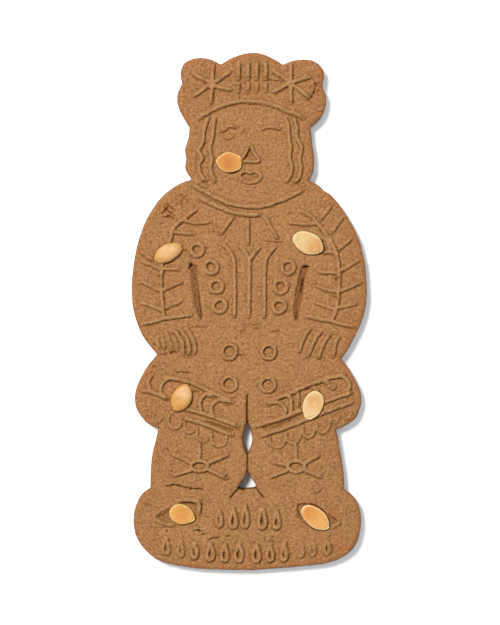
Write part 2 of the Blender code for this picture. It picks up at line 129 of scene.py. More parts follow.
Crack = namedtuple("Crack", "depth reach shade path")
LEG_CREASES = (
    Crack(2.8, 1.05, 0.65, ((-1.2, -49.4), (-1.4, -58), (-1.2, -68))),
    Crack(2.2, 0.75, 0.6, ((-1.2, -84), (-1.2, -98))),
    Crack(2.4, 1.0, 0.8, ((-5, -104.6), (-9, -108.8), (-11.9, -112.2))),
    Crack(2.0, 0.9, 0.65, ((3, -104), (6, -108.4), (9.2, -112.2))),
    Crack(1.8, 1.3, 1.5, ((-7.4, -105.6), (-5, -106.3), (-2.2, -106.6))),
)
CRACKS = (
    Crack(0.9, 0.8, 0.9, ((-30.6, 12), (-29.8, 6), (-29, 0), (-28.9, -5), (-31.4, -4.6))),
    Crack(1.3, 0.9, 1.3, ((32.3, 20.6), (31.8, 17.4), (31.2, 14), (30.7, 9.6))),
    Crack(0.8, 0.7, 0.8, ((31.6, 25.4), (30, 20.4), (28.9, 15), (27.4, 8.6))),
    Crack(0.9, 0.8, 0.9, ((28.6, 1), (27.8, -5), (28.2, -6.6))),
    Crack(1.5, 1.2, 1.6, ((32.6, 25.8), (33.4, 27), (36, 26.8))),
    Crack(1.8, 1.9, 1.9, ((-35.9, 25.4), (-35.2, 27.8), (-32.4, 28.4))),
    Crack(0.7, 0.8, 0.7, ((-33, 21.6), (-32.4, 17.6))),
    Crack(0.7, 0.6, 0.8, ((28.6, 16), (27.2, 8), (26.8, 0), (27.8, -6))),
    Crack(1.5, 0.95, 1.4, ((-50, -104.8), (-44, -104), (-36, -106), (-27, -106.4))),
    Crack(1.5, 0.95, 1.5, ((-33.6, -132), (-31.2, -130.9), (-28.4, -132.2))),
    Crack(1.4, 0.85, 1.4, ((-28.4, -134), (-26.8, -132.8), (-25, -133.4))),
    Crack(1.2, 0.9, 1.3, ((36, -115.2), (39, -115.8), (42, -117.8), (44.8, -119.8))),
    Crack(0.9, 0.8, 0.9, ((29.2, -117.6), (29.6, -115.7), (34.8, -115.4))),
    Crack(0.8, 0.8, 0.85, ((44.6, -119.8), (48, -122.2), (51, -124.2), (52.4, -125.6))),
    Crack(0.9, 0.8, 0.85, ((29.4, -117), (29.4, -120), (29.8, -124))),
    Crack(0.9, 0.75, 0.9, ((48.6, -127.4), (50.6, -126.4), (52.6, -125.4))),
    Crack(0.8, 0.75, 0.75, ((-40.6, -114.5), (-36, -114.7), (-31.6, -115.3))),
    Crack(0.9, 0.75, 0.9, ((-28.7, -112), (-28.6, -116), (-28.9, -120.6))),
    Crack(1.2, 0.8, 1.3, ((-7.5, -26), (-5, -26.4), (-1.2, -25.6))),
    Crack(1.0, 0.75, 1.2, ((-44, -36.8), (-40, -36.4), (-34, -37.2))),
    Crack(1.2, 0.85, 1.2, ((-24.6, -137.2), (-22.6, -135.8), (-17, -135.6))),
    Crack(1.0, 0.7, 1.0, ((-15, -134.8), (-11, -134.3))),
    Crack(0.9, 0.65, 0.9, ((10.5, 139.2), (14, 138.4), (20, 138))),
    Crack(0.9, 0.7, 0.9, ((-55, -26), (-51.5, -25.8), (-48, -25.2))),
    Crack(1.2, 0.8, 1.2, ((-48, -25.2), (-46.4, -24.4), (-42.8, -24.4))),
    Crack(0.5, 0.6, 0.6, ((-39.6, -26.6), (-37.6, -28), (-35.4, -27.6), (-31.4, -25.6))),
    Crack(1.0, 0.8, 1.0, ((-34, -47.8), (-32, -47.8), (-28.8, -48.8))),
    Crack(0.6, 0.6, 0.8, ((-15.4, -56.3), (-11, -56.2))),
    Crack(1.0, 0.8, 1.0, ((26.9, -49.6), (28.9, -48.3), (31.6, -49.6))),
    Crack(1.2, 0.8, 1.2, ((33, -47.1), (35, -46.2), (37.7, -45.3))),
    Crack(0.7, 0.6, 0.9, ((-49.6, -80.6), (-48.6, -83.4), (-49.2, -85.6))),
    Crack(0.6, 0.6, 0.9, ((29.2, -51.5), (30, -58.5))),
    Crack(1.0, 0.8, 1.3, ((-0.6, -22.8), (1.3, -23.5))),
    Crack(0.8, 0.6, 0.9, ((9, 42), (14, 41.8), (19, 41.3), (22, 42))),
    Crack(0.7, 0.6, 0.8, ((-25, 47.5), (-20, 47.8), (-17, 46.9))),
    Crack(0.7, 0.6, 0.8, ((3.5, 14.5), (7.5, 14))),
    Crack(0.8, 0.6, 0.9, ((0.4, -7.8), (8.5, -7.6))),
    Crack(0.8, 0.6, 0.9, ((24, -32), (28.5, -33.5))),
    Crack(0.8, 0.6, 0.9, ((38, -108), (42, -108), (44, -105.5))),
    Crack(0.8, 0.7, 0.9, ((11, -138), (14, -137.5), (16, -139.5))),
    Crack(0.8, 0.6, 0.8, ((-58, -32), (-57, -35))),
    Crack(0.8, 0.7, 0.8, ((48, -44.6), (50, -45), (51.5, -46.4))),
    Crack(1.2, 0.8, 1.2, ((-53, 58.6), (-50, 61), (-48, 64))),
    Crack(1.2, 0.8, 1.2, ((-51.4, 62.6), (-48, 59.6), (-45.2, 57.8))),
    Crack(1.1, 0.8, 1.1, ((-52.8, 56.2), (-48, 56.8), (-44.2, 55.4))),
    Crack(0.9, 0.7, 1.0, ((-49.6, 64.8), (-44.4, 60.2))),
    Crack(0.6, 0.5, 0.7, ((-45, 68.6), (-37, 62.6))),
    Crack(0.6, 0.5, 0.7, ((-42, 70.2), (-35.4, 65.4))),
    Crack(0.6, 0.5, 0.7, ((-44, 63.4), (-37.4, 69.6))),
    Crack(0.6, 0.5, 0.6, ((-41, 61.6), (-34.8, 67.4))),
    Crack(0.7, 0.7, 0.8, ((-37, -9.8), (-31, -9.2), (-26, -9.6))),
    Crack(0.7, 0.6, 0.8, ((-64.8, -115), (-61, -115.2), (-57.4, -117.2))),
    Crack(0.5, 0.6, 0.6, ((-62, -129), (-55, -129.4), (-48, -128.9))),
    Crack(1.0, 0.7, 1.3, ((-15.6, -100), (-13.6, -98.6), (-13.2, -96.4))),
    Crack(1.1, 0.8, 1.2, ((52, 20.6), (53.4, 20.2), (54.8, 20.6))),
    Crack(1.1, 0.8, 1.2, ((50, 9), (51.4, 8.4), (53, 8.8))),
    Crack(0.9, 0.7, 1.0, ((65.4, 14.6), (67.2, 15.4))),
    Crack(1.0, 0.7, 1.1, ((22.4, 57.3), (24.4, 58.6))),
    Crack(1.0, 0.75, 1.1, ((41.8, 137.5), (39.6, 134.8), (38.6, 131.4), (36.2, 127.6))),
)
PITS = (                                         # place and reach of the pits that stand out
    (-34.8, 27.4, 1.3), (33, 26.6, 1.1), (-48.5, 57, 1.1), (-45, 57.6, 0.9), (-52.5, 53, 0.9), (-54, 21, 1.2),
    (52, 19.5, 1.3), (52.5, 8, 1.2), (24.5, 59, 1.1), (66, 29.5, 1.0), (11, 73.7, 0.9), (11, 70, 0.7),
    (-49.5, -131.3, 1.0), (-67.5, -133, 1.1), (-37, 138.6, 0.8), (-17, 73, 0.9), (-7, 78, 0.8), (3.9, 104.4, 0.8),
    (37.5, 128.5, 1.0), (38.5, 131, 0.8), (41.5, 132.4, 0.9), (39.6, 136.4, 1.2), (42, 137.2, 0.9),
    (35.6, 126.8, 0.9), (10.8, 85.8, 0.8), (-25, 38, 0.9), (-38, 36.5, 1.1), (-33.4, -48.3, 1.0),
    (-47, -92, 0.8), (-46.4, -95.6, 0.8), (-47.6, -98, 0.7), (-43.4, -80.4, 0.7), (-38, -75.6, 0.7),
    (31.9, 18.4, 0.9), (31.3, 16.4, 0.9), (-58, -53, 0.8), (-52, -57.6, 0.7), (39.6, 16.4, 0.9),
    (-45.8, -13.2, 1.0), (-57.2, -19.6, 0.9), (-38.6, -21.6, 1.0), (-14.8, -99.4, 0.8), (-14.4, -101.2, 0.7),
)
ROUGH_PATCHES = (                                # place, reach and strength of rough, torn places
    (39.5, 132.5, 6.5, 1.0), (-40.5, 67, 8, 1.0), (-48.5, 60, 6.5, 1.0), (43, 65, 7.5, 0.7), (-55, -33, 5, 1.0),
    (54, -62, 7, 0.7), (50, -143, 8, 0.9), (38, -145, 6, 0.7), (-33.5, 77, 5, 0.8), (33, 76, 5, 0.8),
    (-50, -139, 7, 0.4), (-60, -60, 6, 0.6), (46, -115, 6, 0.6), (-31, 37, 6, 0.7), (18.7, 14, 5, 0.7),
    (-18, 2, 4.5, 0.6), (52, 14, 4, 0.6), (-51, -21, 5, 0.7), (-38, 134, 5, 0.6), (-33, -101, 6, 0.5),
    (-47, -97, 5, 0.6), (42, -103, 7, 0.5), (-38, 120, 6, 0.5), (63, 20, 5, 0.5), (-18, -122, 6, 0.3),
)

TOASTED_PATCHES = (                              # place, reach and strength of redder places
    (50, -120.8, 6, 1.3), (-50, 60, 8, 0.6), (55, -141, 10, 0.7), (40, -147, 8, 0.5), (17.7, 3, 5.5, 0.7),
    (18.7, 15, 5.5, 0.6), (-31.5, 37, 6, 0.5), (-10, 26, 3, 0.6), (-9.4, 10, 4, 0.6), (30, 75, 7, 0.6),
    (-37, 132, 8, 0.4), (40, 131, 7, 0.8), (-62, -48, 7, 0.5), (-60, 30, 8, 0.4), (62, -6, 8, 0.5),
    (-62, -138, 8, 0.4), (0, -152, 9, 0.4), (-12, 32, 5, 0.4), (60, 30, 6, 0.4), (3.4, -78, 3, 0.6),
)

# Beads of each region: the points of every stroke
STARS = (
    ((-21.8, 147.5), (-22.5, 136.5), (-23, 125.6)), ((-12, 143.2), (-22.5, 136.5), (-33, 129.6)),
    ((-12, 133), (-17, 134), (-22.5, 136.5), (-33.5, 142.6)),
    ((24.5, 148), (24.5, 137), (24.9, 125.4)), ((14.4, 144.2), (24.5, 137), (35.3, 128.6)),
    ((14.4, 132), (19, 134), (24.5, 137), (36, 140.6)),
)
HAT_BARS = (-6.8, -1, 4.3, 9.6)                  # places of the pairs of upright bars, long above short
HAT_BAR_ENDS = (148.6, 140)
SHORT_BAR_ENDS = (137, 132.2)
BRIM = ((-30.5, 115.8), (-22, 120.9), (-11, 125.1), (2, 126), (14, 123.7), (24, 119.6), (32, 116.4))
HAIR = (
    ((-24.8, 116.5), (-26.6, 111.5), (-27.4, 107), (-27.6, 103), (-29, 99.5), (-30.3, 97), (-29.8, 95),
     (-28.4, 92.3), (-29.6, 89), (-30.3, 85.5), (-29.3, 82), (-27.6, 79.4), (-26, 78.9)),
    ((-20.6, 116), (-21.8, 111), (-21.9, 107), (-22.8, 102), (-23.9, 98), (-23.6, 95), (-22.4, 92),
     (-23.3, 88), (-23.4, 85), (-22.5, 82), (-21.3, 79.2), (-20.9, 78.3)),
    ((21.6, 116), (23, 111.5), (23.4, 107), (23.6, 103), (24.5, 99), (24.2, 95), (24, 91), (25, 87.5),
     (24.8, 83.5), (23.7, 80.4), (21.9, 78)),
    ((26.4, 116), (27.8, 112), (28.3, 109), (28.2, 105), (29.6, 102), (30.9, 99), (30.5, 95), (29.9, 91),
     (30.7, 87), (30.3, 83), (29.2, 80), (27.6, 78.3), (26.4, 78.8)),
)
EYELIDS = (
    ((-16.8, 108.6), (-14.6, 109.2), (-13.2, 110.7), (-11, 111.3), (-8.6, 110.6)),
    ((8, 109.2), (10, 110.4), (13.5, 110.4), (17.8, 109.6)),
)
NOSE = ((0.2, 99.8), (-2.4, 94.8), (-5.1, 90.3), (0.2, 90.0), (5.5, 90.2), (2.8, 94.8))
MOUTH = ((-5.8, 81.2), (-3, 83.9), (0.5, 83), (3.4, 83.9), (6.9, 81.2), (4.6, 78.4), (0.5, 77.5), (-3.6, 78.4))
EYE_BAGS = (((-14.8, 104.6), (-12.6, 103.6), (-9.6, 105.8)), ((-5.6, 110.6), (-4.2, 109.2), (-4.8, 107.6)))
FACE_MARKS = (
    ((-3, 109), (-2, 103)), ((0, 66), (4, 66)),
    ((-31.8, 98), (-32.6, 92), (-33.6, 87), (-32.8, 84)),
)
COLLARS = (
    ((-33, 75.2), (-24, 70.3), (-14, 65.6), (-4, 63.2), (6, 63), (16, 65.5), (26, 69.8), (31.5, 72.6)),
    ((-29.5, 68.2), (-20, 63.3), (-10, 59.7), (0, 58.2), (6, 58.2)),
)
LAPELS = (
    ((-10, 56.8), (-17, 46.8)), ((9.6, 56), (16.4, 44.6)), ((-1.1, 56.2), (-1.2, 41)),
    ((-15.2, 40), (-10.1, 33.5), (-9.2, 28), (-9, -2.5)),
    ((15.2, 39), (9.8, 31.5), (9.1, 27), (9, -2.5)),
    ((-5.6, 38.8), (-0.5, 31.5), (-0.3, 26), (-0.4, -2.5)), ((5.8, 38.4), (-0.4, 31)),
)
CHEST_BUTTONS = ((-31.5, 37.2), (-23, 26.6), (-20, 15.2), (-18, 3.5), (23, 26.4), (18.7, 15), (17.7, 3.1))
CHEST_RING, CHEST_BEAD = 3.7, 2.9                # radius of a ring's middle, and the width of its bead
BELLY_BUTTONS = ((-12, -24), (11.3, -24.2), (-12.2, -43.4), (11, -43.8))
BELLY_RING, BELLY_BEAD = 4.15, 2.3
STUDS = ((-5.2, -10.3), (3.9, -9), (14.8, -10.6))
STUD_REACH = 1.4
SLEEVE_STEMS = (
    ((-32.6, 60.6), (-39.5, 55.4), (-45.2, 50.4), (-48, 42), (-51.4, 33), (-53, 20), (-52.4, 7), (-51.3, -4)),
    ((38.5, 55.6), (45, 47.5), (50, 39.5), (53, 29.5), (53.5, 16), (52, 2.5), (48.6, -6)),
)
TWIGS = (
    ((-39.6, 54.8), (-31, 53.1), (-23.4, 54.4)), ((-46, 47.6), (-33.4, 46.6)), ((-52, 25.6), (-42.4, 25.4)),
    ((-52.2, 12.8), (-41, 17.8)), ((-50.6, 2.4), (-41, 6.4)), ((-64, 30.4), (-53.5, 25.4)),
    ((-65, 18.3), (-53.5, 12.6)), ((-64.6, 5.3), (-52.8, 1)), ((-64.5, 35.6), (-58, 31)),
    ((24.5, 53.6), (32, 52.5), (40.6, 53)), ((31.6, 60.2), (38.4, 56)), ((43.4, 35.9), (51.6, 35.6)),
    ((42, 23.6), (52.6, 23.4)), ((40.4, 15.8), (46, 13.4), (52.4, 12)), ((40, 5.4), (51, 1.4)),
    ((42.4, 55), (48.8, 63.6)), ((48.8, 47.4), (55.2, 55.8)), ((53, 36.6), (60.2, 43.5)),
    ((54.6, 24.2), (65, 31)), ((54.4, 12.2), (66.5, 17.4)), ((52.2, 2.2), (64, 4.8)),
    ((43.2, 43.8), (44.8, 44.2), (46.4, 42.6), (47.4, 39.6), (48.4, 36.4)),
)
CUFFS = (((-64.8, -7.8), (-51, -4.3), (-35, -1.8)), ((34, -2.8), (47, -5.2), (62, -9)))
FINGERS = (
    ((-38, -10), (-35.6, -13.5), (-33.6, -17.5), (-32.8, -21), (-32.8, -24.4)),
    ((-42.2, -10.2), (-39.4, -13.2), (-37.2, -17), (-36.2, -21), (-36.2, -25)),
    ((-45.6, -11.8), (-42.8, -14), (-40.8, -17.6), (-39.8, -21), (-39.8, -25.2)),
    ((36.2, -10.3), (32.6, -15.5), (30, -23.5)), ((42.5, -12.3), (39, -17), (35, -26.6)),
    ((47.9, -14), (44.7, -18.5), (41.5, -27.6)), ((53.4, -15.3), (51.6, -18.5), (50.3, -26.8)),
)
FAINT_FINGERS = (
    ((-46.6, -15.6), (-44.4, -17.8), (-43.4, -20.5), (-43.2, -23.2)),
    ((-50.4, -11.6), (-48.4, -15.6), (-47.2, -20), (-46.8, -23)), ((-52.8, -14), (-51.6, -18), (-51.2, -22)),
    ((-55.4, -16), (-55, -19), (-54, -21.4)),
)
GARTERS = (
    ((-51, -39.4), (-38, -41.6), (-24, -47.6), (-10.5, -54.4)),
    ((-38, -58.2), (-22, -62.9), (-7, -68.5)), ((-38.4, -63.8), (-24, -68.6), (-10.4, -73.8)),
    ((10.6, -54), (24, -49), (40, -41.9), (56.4, -37.9)),
    ((5, -68.2), (20, -63.5), (36, -57.3), (60.6, -48.4)),
    ((8, -73.9), (22, -69.3), (42, -61.4), (61, -54.2)),
)
LOOPS = (
    ((-58.4, -38), (-60.8, -42), (-59.8, -46), (-57, -48.4)),
    ((-43, -40.4), (-47, -39.9), (-50.6, -41.4), (-53, -44.8), (-53, -48.6), (-50.4, -52)),
    ((-64, -47.3), (-57, -48.8), (-49, -52)), ((-22, -50.6), (-26.4, -49.6), (-29.2, -52.6), (-29.6, -57),
     (-28.2, -60.6)), ((-13.4, -53.6), (-17.6, -52.8), (-21.4, -54.8), (-23.2, -58.6), (-21.8, -62.8)),
    ((11, -55.4), (17, -54.4), (21.4, -58), (20.6, -63)), ((38, -44.8), (39.8, -46.2), (40.6, -48.8)),
    ((19.2, -51.2), (22.6, -50), (24.6, -52.2), (25, -56), (24.2, -61.4)),
    ((26.2, -48.6), (28.4, -49), (29.1, -52.6), (28.9, -56.6), (28.1, -60)),
    ((40.4, -43), (43.8, -41.2), (46.8, -42.6), (48.6, -45.2), (50.2, -46.2), (51, -44.8)),
    ((47.6, -39.8), (51, -38.7), (55.4, -38.8), (58.4, -40.8), (59.7, -44), (58.6, -48.4)),
)
SCALLOPS = (
    ((-48, -62), (-48.4, -66.4), (-45.6, -70), (-42.2, -69), (-40.8, -64.5)),
    ((-38.8, -65.4), (-38.8, -70), (-36, -72.8), (-33.4, -70.5)),
    ((-31.2, -70), (-31.4, -75), (-28, -78), (-25, -75.8), (-24.2, -72)),
    ((-22.8, -72.5), (-22.6, -77.6), (-18.6, -80.6), (-14.8, -79), (-13.8, -74)),
    ((12, -75), (12.5, -79), (16.5, -81.3), (20.5, -79.5), (21.5, -74)),
    ((22, -73), (23, -77.5), (27, -78.8), (30, -76), (30.5, -71)),
    ((31.5, -69), (32.6, -73.5), (35.5, -75.3), (38.5, -73), (38.8, -68)),
    ((40, -67), (41, -71), (44.4, -72.5), (47.4, -70), (47.6, -65)),
)
FAINT_SCALLOPS = (
    ((-57.2, -60.4), (-57.4, -64.6), (-54.8, -66.2), (-52.2, -63.4)),
    ((48.6, -62), (49.6, -66), (52, -66.6), (54, -63)), ((56, -60.6), (57, -63.6), (59.4, -63.6), (61.4, -60)),
    ((-62, -57.6), (-61, -61.4), (-58.6, -62)),
)
BOWS = (((-30, -92.5), (4.9, 3.1)), ((28, -92.5), (5, 3.1)))
BOW_TAILS = (
    ((-30, -79.6), (-30.1, -89)), ((-35, -90.6), (-45.6, -85.4)), ((-34.4, -94.6), (-45, -98.2)),
    ((-25.6, -91), (-13.6, -86)), ((-25.6, -94.2), (-14, -99.4)),
    ((27.4, -79.6), (27.7, -89)), ((33, -91), (41, -86.4)), ((32.6, -94.8), (42.6, -98.8)),
    ((23.4, -94.4), (12.8, -98.8)), ((23.2, -91.8), (15, -90.6)),
)
SHOE_TIPS = (
    ((-45.4, -127.9), (-50.4, -127.3), (-55.2, -125), (-56.8, -122.8), (-53.3, -119.4), (-48, -117.2)),
    ((50, -129.2), (53.8, -126.4)),
)
BUCKLE = ((-41.6, -112.8), (-38, -112.4), (-34, -112.9), (-31.4, -113.6), (-30.3, -115), (-30.2, -120.4))
SHOE_RING = ((-27, -113), (1.5, 1.5))
Drop = namedtuple("Drop", "x tip base width")
DROPS = (
    Drop(-18.2, -117.9, -129.6, 5.6), Drop(-9.9, -116.4, -130.6, 6.4), Drop(-2.8, -114.5, -130.3, 6.2),
    Drop(7.6, -116.1, -131, 6.8), Drop(16.2, -118.3, -131, 6.0),
    Drop(-33.1, -137.1, -148.9, 6.0), Drop(-23.5, -137.7, -149.9, 6.4), Drop(-15, -137.9, -150.6, 6.4),
    Drop(-6.5, -137.5, -150.7, 6.6), Drop(4, -137.7, -151, 6.6), Drop(12.3, -138.7, -150.7, 6.2),
    Drop(20.7, -137.9, -150, 5.8),
)
FAINT_DROPS = (
    Drop(-50, -134.5, -146.3, 6.4), Drop(-41.2, -135.7, -147.6, 5.8), Drop(30.8, -137.5, -147.9, 5.0),
    Drop(37.8, -135.7, -147, 5.4), Drop(46.4, -136.1, -146.2, 5.8),
)
DROP_BEAD = 2.8
TAPER = 4.5
SLIT = ((-0.2, 7.0), (-0.7, 4.8), (-0.2, 2.6))   # the slit in a drop, with shade painted into it, from the middle of its base

# Almonds: pinch is how much one narrows towards its pointed end, direction is that end's, in degrees,
# chipped is the direction of a ragged stretch seen from there, and blunt is where the far end is cut off
Almond = namedtuple("Almond", "length width pinch direction height domed chipped blunt")
ALMONDS = {
    "almond_face": Almond(16.4, 12.2, 0.24, 176, 2.0, False, 200, 0.86),
    "almond_chest_left": Almond(19.0, 10.6, 0.1, 28, 3.2, True, 0, 1),
    "almond_chest_right": Almond(20.0, 13.0, 0.25, -26, 2.0, False, -32, 1),
    "almond_thigh_left": Almond(18.0, 12.2, 0.36, 65, 3.3, True, 150, 1),
    "almond_thigh_right": Almond(17.9, 12.1, 0.06, 250, 2.0, False, 10, 1),
    "almond_foot_left": Almond(16.2, 11.9, 0.33, -20, 2.0, False, 10, 1),
    "almond_foot_right": Almond(20.4, 11.5, 0.2, -39, 2.1, False, 25, 1),
}
ALMOND_SINK = 1.2
POCKET_GAP = -0.55                               # the dough hugs the almond's side
POCKET_SHADE = 0.9                               # sharp crease along the lower right side of an almond

Bead = namedtuple("Bead", "path width lift closed tapered")        # tapered: thin where its path begins


# ---------------------------------------------------------------- hand tools

def pick(*pieces):
    """Select these pieces only, the last one active."""
    bpy.ops.object.select_all(action="DESELECT")
    for piece in pieces:
        piece.select_set(True)
    bpy.context.view_layer.objects.active = pieces[-1]


def apply_modifier(piece, kind, **settings):
    pick(piece)
    modifier = piece.modifiers.new(kind.lower(), kind)
    for key, value in settings.items():
        setattr(modifier, key, value)
    bpy.ops.object.modifier_apply(modifier=modifier.name)


def smooth(points, closed=False):
    """Evenly spaced points on a smooth curve through the given ones."""
    knots = [Vector(point) for point in points]
    count = len(knots)
    spans = count if closed else count - 1
    lengths = [(knots[(i + 1) % count] - knots[i]).length for i in range(spans)]

    def slope(i):
        before, after = (i - 1) % count, (i + 1) % count
        if closed or 0 < i < count - 1:
            return (knots[after] - knots[before]) / (lengths[before] + lengths[i % spans])
        edge = 0 if i == 0 else spans - 1
        chord = (knots[edge + 1] - knots[edge]) / lengths[edge]
        return chord if spans == 1 else 1.5 * chord - 0.5 * slope(1 if i == 0 else count - 2)

    path = []
    for i in range(spans):
        start, end = knots[i], knots[(i + 1) % count]
        leave, arrive = slope(i) * lengths[i], slope((i + 1) % count) * lengths[i]
        pieces = max(1, math.ceil(lengths[i] / CURVE_STEP))
        for k in range(pieces):
            t = k / pieces
            path.append((2 * t**3 - 3 * t**2 + 1) * start + (t**3 - 2 * t**2 + t) * leave
                        + (3 * t**2 - 2 * t**3) * end + (t**3 - t**2) * arrive)
    return path if closed else path + [knots[-1]]


def oval(centre, radii, count=24):
    turns = (math.tau * i / count for i in range(count))
    return [(centre[0] + radii[0] * math.cos(a), centre[1] + radii[1] * math.sin(a)) for a in turns]


def lay_curve(name, runs, **settings):
    """A curve through runs of knots; a run is its knots, each x, y, z and radius, and whether it is closed."""
    bpy.ops.curve.primitive_nurbs_path_add()
    item = bpy.context.object
    item.name = name
    item.data.splines.clear()
    for key, value in settings.items():
        setattr(item.data, key, value)
    for knots, closed in runs:
        spline = item.data.splines.new("POLY")
        spline.points.add(len(knots) - 1)
        spline.points.foreach_set("co", [c for x, y, z, _ in knots for c in (x * MM, y * MM, z * MM, 1)])
        spline.points.foreach_set("radius", [radius for *_, radius in knots])
        spline.use_cyclic_u = closed
    return item


def make_mesh(item, height, flatness=1.0):
    """Turn a curve into a welded mesh at a height, with its place in the mesh."""
    item.location.z = height * MM
    item.scale.z = flatness
    pick(item)
    bpy.ops.object.convert(target="MESH")
    bpy.ops.object.transform_apply(location=True, rotation=True, scale=True)
    bpy.ops.object.mode_set(mode="EDIT")
    bpy.ops.mesh.select_all(action="SELECT")
    bpy.ops.mesh.remove_doubles(threshold=0.002 * MM)
    bpy.ops.mesh.normals_make_consistent(inside=False)
    bpy.ops.object.mode_set(mode="OBJECT")
    return bpy.context.object


def read_places(piece):
    places = np.empty(len(piece.data.vertices) * 3)
    piece.data.vertices.foreach_get("co", places)
    return places.reshape(-1, 3) / MM


def write_places(piece, places):
    piece.data.vertices.foreach_set("co", (places * MM).ravel())
    piece.data.update()


def ease(share):
    share = np.clip(share, 0, 1)
    return share * share * (3 - 2 * share)


def follow(places, path, reach):
    """Indices of the places within reach of a path, with their offset from it and their share along it."""
    path = np.array([tuple(point)[:2] for point in path])
    near = (places[:, :2] > path.min(0) - reach) & (places[:, :2] < path.max(0) + reach)
    chosen = np.flatnonzero(near.all(1))
    flat = places[chosen, :2]
    gap = np.full(len(chosen), np.inf)
    away = np.zeros((len(chosen), 2))
    along = np.zeros(len(chosen))
    run = 0.0
    for start, end in zip(path[:-1], path[1:]):
        step = end - start
        length = np.hypot(*step)
        share = np.clip((flat - start) @ step / length**2, 0, 1)
        offset = flat - start - share[:, None] * step
        distance = np.hypot(offset[:, 0], offset[:, 1])
        closer = distance < gap
        gap[closer] = distance[closer]
        away[closer] = offset[closer]
        along[closer] = (run + share * length)[closer]
        run += length
    return chosen, gap, away, along / run, run


# ---------------------------------------------------------------- the biscuit's body

def roll_slab():
    """The dough slab: its outline and leg openings with rounded rims, cut flat underneath."""
    outline = [point for lobe in OUTLINE for point in smooth(lobe)[:-1]]
    rings = [outline] + [smooth(path, closed=True) for path in LEG_OPENINGS]
    runs = [([(x, y, 0, 1) for x, y in ring], True) for ring in rings]
    half = (GROUND + UNDERSIDE_TRIM) / 2
    slab = lay_curve("biscuit", runs, dimensions="2D", fill_mode="BOTH", extrude=(half - RIM_RADIUS) * MM,
                     bevel_depth=RIM_RADIUS * MM, bevel_resolution=6, offset=-RIM_RADIUS * MM)
    slab = make_mesh(slab, GROUND - half)
    bpy.ops.object.mode_set(mode="EDIT")
    bpy.ops.mesh.select_all(action="SELECT")
    bpy.ops.mesh.bisect(plane_co=(0, 0, 0), plane_no=(0, 0, 1), use_fill=True, clear_inner=True)
    bpy.ops.object.mode_set(mode="OBJECT")
    return slab


def drop_path(drop):
    """Closed path of a drop that points up."""
    wide, high = (drop.width - DROP_BEAD) / 2, drop.tip - drop.base - DROP_BEAD
    top = drop.tip - DROP_BEAD / 2
    half = ((0, 0), (0.42, 0.22), (0.82, 0.46), (1, 0.7), (0.7, 0.93), (0, 1))
    right = [(drop.x + u * wide, top - v * high) for u, v in half]
    return right + [(2 * drop.x - u, v) for u, v in reversed(right[1:-1])]


def relief():
    """Every bead of the mould, each a little uneven, as a hand-cut mould has them."""
    beads = []

    def add(paths, width=BEAD_WIDTH, lift=0.0, closed=False, tapered=False):
        for path in paths:
            line = [Vector((*point, 0)) for point in smooth(path, closed)]
            shifted = [point + noise.noise_vector(point / WAVER_SIZE) * WAVER
                       + noise.noise_vector(point / FINE_WAVER_SIZE) * FINE_WAVER for point in line]
            beads.append(Bead(shifted, width, lift, closed, tapered))

    add(STARS, width=2.6)
    add((((x, HAT_BAR_ENDS[0]), (x, HAT_BAR_ENDS[1])) for x in HAT_BARS), width=3.0)
    add((((x, SHORT_BAR_ENDS[0]), (x, SHORT_BAR_ENDS[1])) for x in HAT_BARS), width=2.8, lift=WORN / 2)
    add([BRIM], width=3.0, lift=WORN / 2)
    add(HAIR)
    add(EYELIDS, width=2.0)
    add([NOSE], width=2.0, closed=True)
    add([MOUTH], width=1.8, closed=True)
    add(EYE_BAGS, width=1.6, lift=WORN)
    add(FACE_MARKS, width=1.6, lift=FAINT)
    add(COLLARS, width=2.8)
    add(LAPELS)
    add((oval(centre, (CHEST_RING,) * 2) for centre in CHEST_BUTTONS), width=CHEST_BEAD, lift=WORN / 2, closed=True)
    add((oval(centre, (BELLY_RING,) * 2) for centre in BELLY_BUTTONS), width=BELLY_BEAD, closed=True)
    add((((x - STUD_REACH, y), (x + STUD_REACH, y)) for x, y in STUDS), width=2.6, lift=WORN)
    add(SLEEVE_STEMS)
    add(TWIGS, lift=WORN / 2)
    add(CUFFS)
    add(FINGERS, width=2.3)
    add(FAINT_FINGERS, width=2.3, lift=WORN)
    add(GARTERS, width=2.7)
    add(LOOPS)
    add(SCALLOPS, width=2.1, lift=WORN * 0.8)
    add(FAINT_SCALLOPS, width=2.0, lift=WORN * 1.5)
    add((oval(centre, radii) for centre, radii in BOWS), closed=True)
    add(BOW_TAILS)
    add(SHOE_TIPS, width=2.2, lift=WORN)
    add([BUCKLE], width=2.8)
    add([oval(*SHOE_RING, 10)], width=1.5, lift=FAINT, closed=True)
    add(map(drop_path, DROPS), width=DROP_BEAD, closed=True, tapered=True)
    add(map(drop_path, FAINT_DROPS), width=DROP_BEAD, lift=WORN, closed=True, tapered=True)
    return beads


